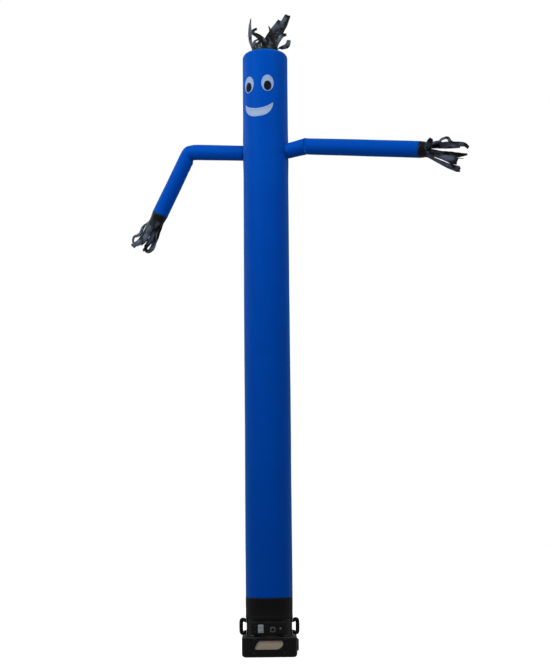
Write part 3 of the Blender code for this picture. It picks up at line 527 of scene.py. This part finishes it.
def arm_roots():
    """The bearing and height where each sleeve leaves the tube, and its radius there."""
    return [(pi / 2, RIGHT_ARM[0]), (-pi / 2, LEFT_ARM[0])]


def from_root(turn, height, root_turn, root):
    """The arc distance from a sleeve's root to a place on the tube, and the direction of that place."""
    swing = (turn - root_turn + pi) % tau - pi
    across = swing * TUBE_RADIUS
    up = height - root.height
    return hypot(across, up), atan2(up, across)


def tube_swell(turn, height):
    """How far the tube's cloth stands out of a plain round tube."""
    around = Vector((cos(turn), sin(turn), 0.0))
    slow = noise.noise(around * 1.1 + Vector((0.0, 0.0, height * 0.9)))
    quick = noise.noise(around * 3.0 + Vector((5.0, 0.0, height * 2.6)))
    swell = 0.0020 * slow + 0.0008 * quick
    along = (turn % tau) * TUBE_RADIUS
    ends = ease(height, BAND_SEAM_Z, BAND_SEAM_Z + 0.02)
    swell *= ends
    swell += ruffle(along, height - BAND_SEAM_Z, 1.0, 0.0016, 0.07) * ends
    swell += ruffle(along, max(0.0, SHOULDER_Z + 0.02 - height), 2.0, 0.0012, 0.05)
    swell -= 0.0012 * exp(-((along - pi * TUBE_RADIUS) / 0.006) ** 2)
    for root_turn, root in arm_roots():
        away, direction = from_root(turn, height, root_turn, root)
        outside = max(0.0, away - root.radius)
        pull = exp(-outside / 0.13) * ease(outside, 0.0, 0.03)
        swell += 0.0034 * pull * cos(6 * direction + 1.2 * noise.noise(Vector((away * 6, 0.0, root_turn))))
        swell += 0.0030 * exp(-outside / 0.05) * ease(outside, 0.0, 0.02)
    return swell


def tube_place(turn, height):
    """A point on the tube's outer face, in the dancer's own directions."""
    return round_point(TUBE_RADIUS + tube_swell(turn, height), turn, height)


def shoulder_point(turn):
    """A point on the head's rounded shoulder: turn is 0 where the tube is upright."""
    middle = TUBE_RADIUS - SHOULDER_ROUND
    return (middle + SHOULDER_ROUND * cos(turn), SHOULDER_Z + SHOULDER_ROUND * sin(turn))


def vent_point(share):
    """A point on the sloping crown: share is 0 at the end of the shoulder and 1 at the vent's edge."""
    start_radius, start_z = shoulder_point(pi / 2 - CAP_SLOPE)
    radius = start_radius + (VENT_RADIUS - start_radius) * share
    return (radius, start_z + (start_radius - radius) * tan(CAP_SLOPE))


def ring(radius, height, swell=None, lift=None):
    """One row of the tube's points; swell(turn) moves each one out and lift(turn) moves it up."""
    row = []
    for column in range(TUBE_COLUMNS):
        turn = tau * column / TUBE_COLUMNS
        out = swell(turn) if swell else 0.0
        up = lift(turn) if lift else 0.0
        row.append(DANCER_TURN @ round_point(radius + out, turn, height + up))
    return row


def tube_cloth():
    heights = spaced(BAND_SEAM_Z + 0.0005, SHOULDER_Z, 0.010, 0.022, 0.16)
    rows = [ring(TUBE_RADIUS, height, lambda turn: tube_swell(turn, height)) for height in heights]
    for step in range(1, SHOULDER_ROWS + 1):
        turn_up = CAP_SEAM_TURN * step / SHOULDER_ROWS
        radius, height = shoulder_point(turn_up)
        rows.append(ring(radius, height, lambda turn: tube_swell(turn, SHOULDER_Z) * cos(turn_up)))
        heights.append(heights[-1] + SHOULDER_ROUND * CAP_SEAM_TURN / SHOULDER_ROWS)
    foot, head = heights[0], heights[-1]

    def seam(row, column):
        turn = tau * column / TUBE_COLUMNS
        height = heights[row]
        found = [(height - foot, turn * TUBE_RADIUS), (head - height, turn * TUBE_RADIUS),
                 (abs(turn - pi) * TUBE_RADIUS, height)]
        for root_turn, root in arm_roots():
            away, direction = from_root(turn, height, root_turn, root)
            found.append((abs(away - root.radius), direction * root.radius))
        return min(found)

    def keep(row, column):
        turn = tau * (column + 0.5) / TUBE_COLUMNS
        distances = [from_root(turn, heights[row], *root)[0] - root[1].radius for root in arm_roots()]
        return min(distances) > -0.012

    item = round_cloth("tube_cloth", rows, TUBE_GIRTH, heights, seam, "blue_cloth", "tube_body", keep=keep)


def band_cloth():
    """The black band: drawn in over the collar, full above it, and doubled at its hem."""
    heights = spaced(BAND_FOOT_Z, BAND_SEAM_Z - 0.0005, 0.006, 0.009, 0.06)

    def radius_at(height):
        full = ease(height, COLLAR_TOP_Z - 0.02, COLLAR_TOP_Z + 0.075)
        hem = 0.0012 * (1 - ease(height, BAND_FOOT_Z + BAND_HEM - 0.003, BAND_FOOT_Z + BAND_HEM))
        return COLLAR_FIT_RADIUS + (TUBE_RADIUS - COLLAR_FIT_RADIUS) * full + hem

    def swell(turn, height):
        along = turn * TUBE_RADIUS
        free = ease(height, COLLAR_TOP_Z - 0.01, COLLAR_TOP_Z + 0.06)
        soft = 0.0014 * noise.noise(Vector((3.2 * cos(turn), 3.2 * sin(turn), height * 9.0))) * free
        return (soft + abs(ruffle(along, height - BAND_FOOT_Z, 3.0, 0.0018, 0.05))
                + 0.6 * ruffle(along, BAND_SEAM_Z - height, 1.0, 0.0016, 0.05))

    rows = [ring(radius_at(height), height, lambda turn: swell(turn, height)) for height in heights]

    def seam(row, column):
        along = TUBE_GIRTH * column / TUBE_COLUMNS
        to_foot = abs(heights[row] - BAND_FOOT_Z - BAND_HEM + 0.010)
        return min((to_foot, along), (BAND_SEAM_Z - heights[row], along))

    item = round_cloth("band_cloth", rows, TUBE_GIRTH, heights, seam, "black_cloth", "base_band")


def cap_cloth():
    """The crown: from the shoulder's seam over to the vent, puckered at both its edges."""
    profile = [shoulder_point(CAP_SEAM_TURN + (pi / 2 - CAP_SLOPE - CAP_SEAM_TURN) * step / CAP_ROUND_ROWS)
               for step in range(CAP_ROUND_ROWS + 1)]
    profile += [vent_point(step / CAP_SLOPE_ROWS) for step in range(1, CAP_SLOPE_ROWS + 1)]
    distances = [0.0]
    for before, after in zip(profile, profile[1:]):
        distances.append(distances[-1] + hypot(after[0] - before[0], after[1] - before[1]))
    length = distances[-1]

    def pucker(turn, gone):
        along = turn * TUBE_RADIUS
        return (ruffle(along, length - gone, 4.0, 0.0022, 0.022)
                + ruffle(along, gone, 2.0, 0.0014, 0.020) * ease(gone, 0.0, 0.006))

    rows = [ring(radius, height, lift=lambda turn: pucker(turn, gone))
            for (radius, height), gone in zip(profile, distances)]

    def seam(row, column):
        along = TUBE_GIRTH * column / TUBE_COLUMNS
        return min((distances[row], along), (length - distances[row], along))

    item = round_cloth("cap_cloth", rows, TUBE_GIRTH, distances, seam, "blue_cloth", "head_cap")


# ---------------------------------------------------------------- the face


def patch_cloth(name, centre, half_width, edges, lift, look, node):
    """A sewn patch that follows the tube. edges(s) gives its foot and top at s, from -1 to 1."""
    points = []
    seams = []
    places = []
    for column in range(PATCH_COLUMNS + 1):
        # The first and last columns stop a little short of the patch's two side points.
        across = -cos(pi * (0.015 + 0.97 * column / PATCH_COLUMNS))
        foot, top = edges(across)
        along = centre + half_width * across
        for row in range(PATCH_ROWS + 1):
            height = foot + (top - foot) * row / PATCH_ROWS
            turn = along / TUBE_RADIUS
            outward = round_point(1.0, turn, 0.0)
            puff = 0.0008 * noise.noise(Vector((along * 30.0, height * 30.0, 3.0)))
            points.append(DANCER_TURN @ (tube_place(turn, height) + outward * (lift + CLOTH + puff)))
            gap = min(height - foot, top - height, half_width * (1 - abs(across)) * 1.6)
            seams.append((max(0.0, gap), along + height))
            places.append((along, height))
    faces = []
    for column in range(PATCH_COLUMNS):
        for row in range(PATCH_ROWS):
            first = column * (PATCH_ROWS + 1) + row
            beside = first + PATCH_ROWS + 1
            faces.append((first, beside, beside + 1, first + 1))
    corner_uvs = [places[corner] for one_face in faces for corner in one_face]
    item = add_cloth(name, points, faces, corner_uvs, seams, look, node)


def oval(middle_z, half_height):
    return lambda across: (middle_z - half_height * sqrt(1 - across * across),
                           middle_z + half_height * sqrt(1 - across * across))


def smile(across):
    """The mouth's lower edge is a deep bow and its upper edge a shallow one."""
    top = MOUTH_TOP_Z + (MOUTH_CORNER_Z - MOUTH_TOP_Z) * across * across
    foot = MOUTH_FOOT_Z + (MOUTH_CORNER_Z - MOUTH_FOOT_Z) * (1 - sqrt(1 - abs(across) ** 2.4))
    return foot, top


def face():
    second_layer = 2 * PATCH_GAP + CLOTH
    for side, direction in (("left", -1), ("right", 1)):
        centre = direction * EYE_SPREAD
        patch_cloth(f"eye_patch_{side}", centre, EYE_HALF_WIDTH, oval(EYE_Z, EYE_HALF_HEIGHT), PATCH_GAP,
                    "white_cloth", f"eye_{side}")
        patch_cloth(f"pupil_patch_{side}", centre, PUPIL_HALF_WIDTH, oval(PUPIL_Z, PUPIL_HALF_HEIGHT),
                    second_layer, "pupil_cloth", f"pupil_{side}")
    patch_cloth("mouth_patch", 0.0, MOUTH_HALF_WIDTH, smile, PATCH_GAP, "white_cloth", "mouth")


# ---------------------------------------------------------------- the arms


def between(values, share):
    """A smooth curve's value between the middle two of four evenly counted values."""
    before, first, second, after = values
    square = share * share
    cube = square * share
    return 0.5 * (2 * first + (second - before) * share
                  + (2 * before - 5 * first + 4 * second - after) * square
                  + (3 * first - before - 3 * second + after) * cube)


def sleeve_sections(sections):
    """The sleeve's sections at every ARM_ROW of its length, with the length so far."""
    found = [(0.0, sections[0])]
    for place in range(len(sections) - 1):
        first, second = sections[place], sections[place + 1]
        length = hypot(second.reach - first.reach, second.height - first.height)
        # A long stretch is straight between its ends, so the curve doesn't overshoot.
        before = sections[max(0, place - 1)]
        after = sections[min(len(sections) - 1, place + 2)]
        steps = max(2, round(length / ARM_ROW))
        curved = length < LONGEST_BEND
        for step in range(1, steps + 1):
            share = step / steps
            if curved:
                values = [between(four, share) for four in zip(before, first, second, after)]
            else:
                values = [a + (b - a) * share for a, b in zip(first, second)]
            now = ArmSection(*values)
            gone = found[-1][0] + hypot(now.reach - found[-1][1].reach, now.height - found[-1][1].height)
            found.append((gone, now))
    return found


def sleeve_swell(gone, length, section, turn, creases, seed):
    """How far a sleeve's cloth stands out of its round section."""
    around = Vector((cos(turn) * 1.6, sin(turn) * 1.6, seed))
    swell = 0.0014 * noise.noise(around + Vector((gone * 3.0, 0.0, 0.0)))
    along = turn * section.radius
    swell += ruffle(along, gone, seed, 0.0030, 0.05) * ease(gone, 0.0, 0.02)
    swell += ruffle(along, length - gone, seed + 1.0, 0.0022, 0.05)
    for crease in creases:
        off_side = abs((turn - radians(crease.side) + pi) % tau - pi)
        bite = ease(-off_side, -radians(crease.spread), 0.0)
        away = section.reach - crease.reach
        wander = 0.010 * noise.noise(Vector((turn * 1.5, crease.reach * 9.0, seed)))
        swell -= crease.depth * bite * exp(-((away - wander) / crease.width) ** 2)
        swell += 0.35 * crease.depth * bite * cos((away - wander) * 190.0) * exp(-abs(away) / 0.06)
    return swell


def sleeve(side, sections, direction, creases, seed):
    """A sleeve from the tube to its cuff. Column 0 is its top, and they go round by its back."""
    found = sleeve_sections(sections)
    length = found[-1][0]
    rows = []
    for number, (gone, section) in enumerate(found):
        lean = radians(section.lean)
        upright = Vector((-sin(lean), 0.0, cos(lean)))
        centre = Vector((section.reach, 0.0, section.height))
        row = []
        for column in range(ARM_COLUMNS):
            turn = tau * column / ARM_COLUMNS
            radius = section.radius + sleeve_swell(gone, length, section, turn, creases, seed)
            point = centre + upright * (radius * cos(turn)) + Vector((0.0, radius * sin(turn), 0.0))
            surface = sqrt((TUBE_RADIUS - 0.0015) ** 2 - point.y ** 2)
            point.x = surface if number == 0 else max(surface, point.x)
            point.x *= direction
            row.append(DANCER_TURN @ point)
        rows.append(row if direction < 0 else row[:1] + row[:0:-1])
    distances = [gone for gone, section in found]

    def seam(row, column):
        along = ARM_SEAM_GIRTH * column / ARM_COLUMNS
        under = abs(column - ARM_COLUMNS / 2) / ARM_COLUMNS * ARM_SEAM_GIRTH
        return min((distances[row], along), (length - distances[row], along), (under, distances[row]))

    girth = tau * sections[-1].radius
    nodes = [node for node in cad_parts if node.startswith(f"{side}_arm_")]
    item = round_cloth(f"{side}_sleeve", rows, girth, distances, seam, "blue_cloth", *nodes)


# ---------------------------------------------------------------- the fringes


def heading(rise, bearing):
    return round_point(cos(radians(rise)), radians(bearing), sin(radians(rise)))


def strip_rows(root_middle, root_across, folds, seed):
    """Each section of a strip above its root, as its middle, its half-width vector, its face's normal
    and how far along the strip it is, from 0 to 1."""
    place = root_middle.copy()
    across = root_across.normalized()
    width = root_across.length
    ahead = Vector((0.0, 0.0, 1.0))
    total = sum(fold.length for fold in folds)
    gone = 0.0
    found = []
    for fold in folds:
        turn = ahead.rotation_difference(heading(fold.rise, fold.bearing))
        begin = ahead.copy()
        width_before = width
        for step in range(FOLD_STEPS):
            share = (step + 1) / FOLD_STEPS
            now = Quaternion().slerp(turn, sqrt(share)) @ begin
            across = ahead.rotation_difference(now) @ across
            across = Quaternion(now, radians(fold.roll) / FOLD_STEPS) @ across
            ahead = now
            place = place + ahead * (fold.length / FOLD_STEPS)
            gone += fold.length / FOLD_STEPS
            width = width_before + (fold.width - width_before) * share
            uneven = 1 + 0.10 * noise.noise(Vector((gone * 28.0, seed, 0.0)))
            facing = ahead.cross(across).normalized()
            flutter = 0.005 * noise.noise(Vector((gone * 14.0, seed, 5.0))) * ease(gone, 0.02, 0.10)
            found.append((place + facing * flutter, across * (width * uneven / 2), facing, gone / total))
    return found


def strip_tip(across, seed):
    """How far the cut end of a strip runs past or short of its middle, for across from -1 to 1."""
    slant = 0.5 * noise.noise(Vector((seed * 3.7, 1.0, 0.0)))
    ragged = 0.35 * noise.noise(Vector((across * 2.3, seed, 9.0)))
    return slant * across + ragged


def fringe(name, radii, cuff, strips, place, seed, node):
    """A cuff round the outlet, whose rim goes on as strips that curl across their width."""
    columns = STRIP_COLUMNS * len(strips)
    start_radius, end_radius = radii
    points = []
    seams = []
    places = []
    for row in range(CUFF_ROWS + 1):
        share = row / CUFF_ROWS
        for column in range(columns):
            turn = tau * (column - STRIP_COLUMNS / 2) / columns
            along = turn * start_radius
            bulge = 0.0030 * sin(pi * share) * noise.noise(Vector((4 * cos(turn), 4 * sin(turn), seed)))
            radius = start_radius + (end_radius - start_radius) * share + bulge
            radius += ruffle(along, cuff * share, seed, 0.0016, 0.03)
            points.append(round_point(radius, turn, cuff * share))
            seams.append((cuff * share, along))
            places.append((along, cuff * share))
    faces = around_faces(CUFF_ROWS + 1, columns)
    rim = CUFF_ROWS * columns
    area = tau * (start_radius + end_radius) / 2 * cuff
    longest = 0.0
    for number, strip in enumerate(strips):
        folds = [Fold(*fold) for fold in strip]
        row = [rim + (STRIP_COLUMNS * number + step) % columns for step in range(STRIP_COLUMNS + 1)]
        ends = (points[row[0]] + points[row[-1]]) / 2
        middle = (points[row[STRIP_COLUMNS // 2]] + ends) / 2
        across_root = points[row[-1]] - points[row[0]]
        depth_root = (points[row[STRIP_COLUMNS // 2]] - ends).length / 2
        this_seed = seed + number * 1.7
        curl = 0.22 * noise.noise(Vector((this_seed, 2.0, 0.0))) + 0.10
        length = sum(fold.length for fold in folds)
        longest = max(longest, length)
        area += length * (across_root.length + folds[-1].width) / 2
        sections = strip_rows(middle, across_root, folds, this_seed)
        ahead = (sections[-1][0] - sections[-2][0]).normalized()
        for order, (centre, half, facing, gone) in enumerate(sections):
            first = len(points)
            cup = (1 - gone) * depth_root * 2 + gone * curl * half.length
            for step in range(STRIP_COLUMNS + 1):
                side = 2 * step / STRIP_COLUMNS - 1
                inward = facing * (cup * (side * side - 0.5))
                crumple = facing * (0.0022 * noise.noise(Vector((side * 2.0, gone * 9.0, this_seed))))
                point = centre + half * side + inward + crumple * ease(gone, 0.0, 0.2)
                if order == len(sections) - 1:
                    point = point + ahead * (strip_tip(side, this_seed) * half.length)
                points.append(point)
                edge_gap = half.length * (1 - abs(side)) + 0.022
                seams.append((max(cuff, edge_gap), gone * length))
                places.append((side * half.length, cuff + gone * length))
            above = list(range(first, first + STRIP_COLUMNS + 1))
            for step in range(STRIP_COLUMNS):
                faces.append((row[step], row[step + 1], above[step + 1], above[step]))
            row = above
    corner_uvs = [places[corner] for one_face in faces for corner in one_face]
    points = [place @ point for point in points]
    item = add_cloth(name, points, faces, corner_uvs, seams, "tail_cloth", node)


def head_fringe():
    place = Matrix.Translation((0.0, 0.0, vent_point(1.0)[1] - 0.0015))
    radius = VENT_RADIUS - 0.0012
    fringe("crown_fringe", (radius, radius), HEAD_CUFF, HEAD_STRIPS, place, 11.0, "head_fringe")


def arm_fringe(name, sections, direction, strips, seed, node):
    end = sections[-1]
    lean = radians(end.lean)
    along = Vector((direction * cos(lean), 0.0, sin(lean)))
    start = Vector((direction * end.reach, 0.0, end.height)) + along * 0.0004
    turn = Matrix.Rotation(direction * (pi / 2 - lean), 4, "Y")
    place = DANCER_TURN @ Matrix.Translation(start) @ turn
    fringe(name, (end.radius, ARM_CUFF_END_RADIUS), ARM_CUFF, strips, place, seed, node)


# ---------------------------------------------------------------- the blower


def add_solid(name, points, faces, look, *nodes, flat=False):
    """A closed piece with its faces turned outwards, and flat faces if asked."""
    item = add_piece(name, points, faces, look, *nodes)
    shape = bmesh.new()
    shape.from_mesh(item.data)
    bmesh.ops.recalc_face_normals(shape, faces=shape.faces)
    shape.to_mesh(item.data)
    shape.free()
    if flat:
        item.data.polygons.foreach_set("use_smooth", [False] * len(item.data.polygons))
    return item


def fitting(node):
    """A round fitting's front, centre, radius and depth, and a frame that stands on its back and points
    forwards."""
    low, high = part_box(node)
    centre = (Vector(low) + Vector(high)) / 2
    stand = Matrix.Translation((centre.x, high[1], centre.z)) @ Matrix.Rotation(pi / 2, 4, "X")
    return low[1], centre, (high[0] - low[0]) / 2, high[1] - low[1], stand


def capped(rows, columns):
    """The faces of a closed shape made of rows of points that go right round."""
    last = (rows - 1) * columns
    ends = [tuple(reversed(range(columns))), tuple(range(last, last + columns))]
    return around_faces(rows, columns) + ends


def block_faces(first, sides):
    """The faces of a block whose front outline starts at point first and is followed by its back one."""
    faces = [tuple(range(first, first + sides)), tuple(reversed(range(first + sides, first + 2 * sides)))]
    for side in range(first, first + sides):
        beside = first + (side - first + 1) % sides
        faces.append((side, side + sides, beside + sides, beside))
    return faces


def lathe(profile, steps, place):
    """Points and faces of a closed turned shape; profile holds (radius, height) from axis to axis."""
    points = []
    for radius, height in profile:
        for step in range(steps):
            turn = tau * step / steps
            points.append(place @ Vector((radius * cos(turn), radius * sin(turn), height)))
    return points, capped(len(profile), steps)


def sweep(path, radius, sides):
    """Points and faces of a round bar along a list of points, with closed ends."""
    points = []
    for place, point in enumerate(path):
        ahead = (path[min(place + 1, len(path) - 1)] - path[max(place - 1, 0)]).normalized()
        first = Vector((0.0, 1.0, 0.0))
        second = ahead.cross(first).normalized()
        for side in range(sides):
            turn = tau * side / sides
            points.append(point + (first * cos(turn) + second * sin(turn)) * radius)
    return points, capped(len(path), sides)


def soften(item, width):
    """Rounds an object's sharp edges."""
    edge = item.modifiers.new("soft_edges", "BEVEL")
    edge.width = width
    edge.segments = 2
    edge.limit_method = "ANGLE"
    edge.angle_limit = radians(40)


def handle(side, direction):
    """A smooth bar bent into a loop whose two ends meet the drum."""
    low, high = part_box(f"handle_{side}")
    bar = (high[1] - low[1]) / 2
    points = [Vector((direction * out, 0.0, height)) for out, height in HANDLE_PATH]
    path = [points[0]]
    for before, point, after in zip(points, points[1:], points[2:]):
        # Each bend runs from half-way to half-way, and the two by the drum are tighter.
        into = before.lerp(point, 0.7 if before is points[0] else 0.5)
        out_of = point.lerp(after, 0.3 if after is points[-1] else 0.5)
        for step in range(5):
            share = step / 4
            path.append(into.lerp(point, share).lerp(point.lerp(out_of, share), share))
    path.append(points[-1])
    path = path[:1] + [point for before, point in zip(path, path[1:]) if (point - before).length > 1e-5]
    points, faces = sweep(path, bar, 24)
    add_solid(f"handle_bar_{side}", points, faces, "black_plastic", f"handle_{side}")


def intake_wires():
    """A woven wire screen in front of its filter pad."""
    low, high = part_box("intake_screen")
    pitch = 0.0070
    wire = 0.0009
    weave = 0.6 * wire
    middle_y = low[1] + 0.0010
    points = []
    faces = []

    def add(path, sideways):
        first = len(points)
        for point in path:
            for across, out in ((-wire, 0.0), (0.0, -wire), (wire, 0.0), (0.0, wire)):
                points.append(point + sideways * across + Vector((0.0, out, 0.0)))
        faces.extend(tuple(first + corner for corner in side) for side in around_faces(len(path), 4))

    across_count = int((high[0] - low[0]) / pitch)
    up_count = int((high[2] - low[2]) / pitch)
    for row in range(1, up_count):
        height = low[2] + row * pitch
        add([Vector((low[0] + column * pitch, middle_y + weave * (-1) ** (row + column), height))
             for column in range(across_count + 1)], Vector((0.0, 0.0, 1.0)))
    for column in range(1, across_count):
        across = low[0] + column * pitch
        add([Vector((across, middle_y - weave * (-1) ** (row + column), low[2] + row * pitch))
             for row in range(up_count + 1)], Vector((1.0, 0.0, 0.0)))
    add_solid("intake_wires", points, faces, "screen_mesh")

    inset = 0.002
    front = low[1] + 0.0022
    corners = [(low[0] + inset, low[2] + inset), (high[0] - inset, low[2] + inset),
               (high[0] - inset, high[2] - inset), (low[0] + inset, high[2] - inset)]
    pad_points = [Vector((x, y, z)) for y in (front, high[1]) for x, z in corners]
    pad = add_solid("intake_pad", pad_points, block_faces(0, 4), "screen_mesh", "intake_screen", flat=True)
    soften(pad, SMALL_BEVEL)


def socket(place):
    """A round outlet face, with dark blocks set into it just proud of its face as painted shade for its two
    upright slots and round earth hole.
    """
    node = f"outlet_{place}"
    front, centre, radius, depth, stand = fitting(node)
    edge = 0.0005
    profile = [(edge, 0.0), (radius, 0.0), (radius, depth - edge), (radius - edge, depth), (edge, depth)]
    add_solid(f"socket_{place}", *lathe(profile, 40, stand), "grey_plastic", node)
    points = []
    faces = []
    # Painted shade: thin dark blocks on the face stand in for the shade inside the slots and earth hole.
    for across, up, half_width, half_height, sides in ((-0.0064, 0.002, 0.0011, 0.0040, 4),
                                                       (0.0064, 0.002, 0.0011, 0.0034, 4),
                                                       (0.0, -0.0072, 0.0024, 0.0024, 14)):
        faces += block_faces(len(points), sides)
        reach = sqrt(2) if sides == 4 else 1.0
        for y in (front - 0.0002, front - 0.0002 + depth / 2):
            for side in range(sides):
                turn = tau * (side + 0.5) / sides
                points.append(Vector((centre.x + across + half_width * reach * cos(turn), y,
                                      centre.z + up + half_height * reach * sin(turn))))
    add_solid(f"socket_slot_shade_{place}", points, faces, "painted_slot_shade", flat=True)


def dial_marks():
    """Short printed ticks round the switch knob."""
    front, centre = fitting("dial_plate")[:2]
    near, far, half = 0.0175, 0.0215, 0.0006
    points = []
    faces = []
    for degrees in (0, 45, 90, 135, 180):
        turn = radians(degrees)
        outward = Vector((cos(turn), 0.0, sin(turn)))
        beside = Vector((-sin(turn), 0.0, cos(turn)))
        faces += block_faces(len(points), 4)
        for y in (front - 0.0002, front + 0.0005):
            for reach, off in ((near, -half), (far, -half), (far, half), (near, half)):
                points.append(Vector((centre.x, y, centre.z)) + outward * reach + beside * off)
    add_solid("dial_marks", points, faces, "printed_mark")


def screw(node):
    """A domed head with a socket in it."""
    radius, depth, stand = fitting(node)[2:]
    profile = [(0.0002, 0.0), (radius, 0.0), (radius, depth * 0.35)]
    profile += [(radius * cos(turn), depth * (0.35 + 0.65 * sin(turn)))
                for turn in (radians(20), radians(40), radians(58))]
    profile += [(radius * 0.42, depth * 0.97), (radius * 0.38, depth * 0.45), (0.0002, depth * 0.40)]
    add_solid(f"{node}_head", *lathe(profile, 24, stand), "dark_steel", node)


def dress_nodes():
    """Gives the CAD nodes that stay their materials and softer edges."""
    kept = {
        "black_plastic": ("blower_base", "blower_drum", "control_panel", "switch_knob", "side_cover"),
        "grey_plastic": ("outlet_plate",),
        "dark_grey_plastic": ("dial_plate", "reset_button", "reset_bezel"),
    }
    for look, names in kept.items():
        for name in names:
            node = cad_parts[name]
            for place in node.material_slots:
                place.material = MATERIALS[look]
            soften(node, BEVELS.get(name, SMALL_BEVEL))


def blower():
    dress_nodes()
    handle("left", -1)
    handle("right", 1)
    intake_wires()
    socket("upper")
    socket("lower")
    dial_marks()
    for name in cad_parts:
        if "_screw_" in name:
            screw(name)


# ---------------------------------------------------------------- the view


def add_camera():
    data = bpy.data.cameras.new("camera")
    data.sensor_fit = "VERTICAL"
    data.sensor_height = CAMERA_SENSOR
    data.lens = CAMERA_LENS
    data.clip_end = 200.0
    camera = bpy.data.objects.new("camera", data)
    camera.matrix_world = (Matrix.Translation(CAMERA_PLACE) @ Matrix.Rotation(CAMERA_YAW, 4, "Z")
                           @ Matrix.Rotation(pi / 2 + CAMERA_PITCH, 4, "X")
                           @ Matrix.Rotation(CAMERA_ROLL, 4, "Z"))
    bpy.context.scene.collection.objects.link(camera)
    bpy.context.scene.camera = camera


def add_lamp(lamp):
    data = bpy.data.lights.new(lamp.name, "AREA")
    data.size = lamp.size
    data.energy = lamp.power
    data.color = lamp.colour
    light = bpy.data.objects.new(lamp.name, data)
    light.location = lamp.place
    aim = Vector(lamp.target) - Vector(lamp.place)
    light.rotation_euler = aim.to_track_quat("-Z", "Y").to_euler()
    bpy.context.scene.collection.objects.link(light)


def add_floor():
    reach = FLOOR_REACH
    mesh = bpy.data.meshes.new("floor")
    corners = [(-reach, -reach, 0.0), (reach, -reach, 0.0), (reach, reach, 0.0), (-reach, reach, 0.0)]
    mesh.from_pydata(corners, [], [(0, 1, 2, 3)])
    mesh.materials.append(floor_material())
    floor = bpy.data.objects.new("floor", mesh)
    bpy.context.scene.collection.objects.link(floor)
    # The floor looks bright without lighting the blower from below.
    floor.visible_diffuse = False
    floor.visible_glossy = False


def add_walls():
    """White all round, which looks full white and lights the object more softly than it looks."""
    world = bpy.data.worlds.new("studio")
    world.use_nodes = True
    tree = world.node_tree
    sky = tree.nodes["Background"]
    sky.inputs["Color"].default_value = (*WHITE, 1.0)
    seen = tree.nodes.new("ShaderNodeLightPath")
    strength = tree.nodes.new("ShaderNodeMapRange")
    strength.inputs["To Min"].default_value = WALL_LIGHT
    strength.inputs["To Max"].default_value = 1.0
    tree.links.new(seen.outputs["Is Camera Ray"], strength.inputs["Value"])
    tree.links.new(strength.outputs["Result"], sky.inputs["Strength"])
    bpy.context.scene.world = world
    bpy.context.scene.view_settings.view_transform = "Standard"


def main():
    add_camera()
    tube_cloth()
    band_cloth()
    cap_cloth()
    face()
    sleeve("right", RIGHT_ARM, 1, RIGHT_CREASES, 21.0)
    sleeve("left", LEFT_ARM, -1, LEFT_CREASES, 31.0)
    head_fringe()
    arm_fringe("right_tails", RIGHT_ARM, 1, RIGHT_STRIPS, 41.0, "right_fringe")
    arm_fringe("left_tails", LEFT_ARM, -1, LEFT_STRIPS, 51.0, "left_fringe")
    blower()
    add_floor()
    add_walls()
    for lamp in LAMPS:
        add_lamp(lamp)


main()
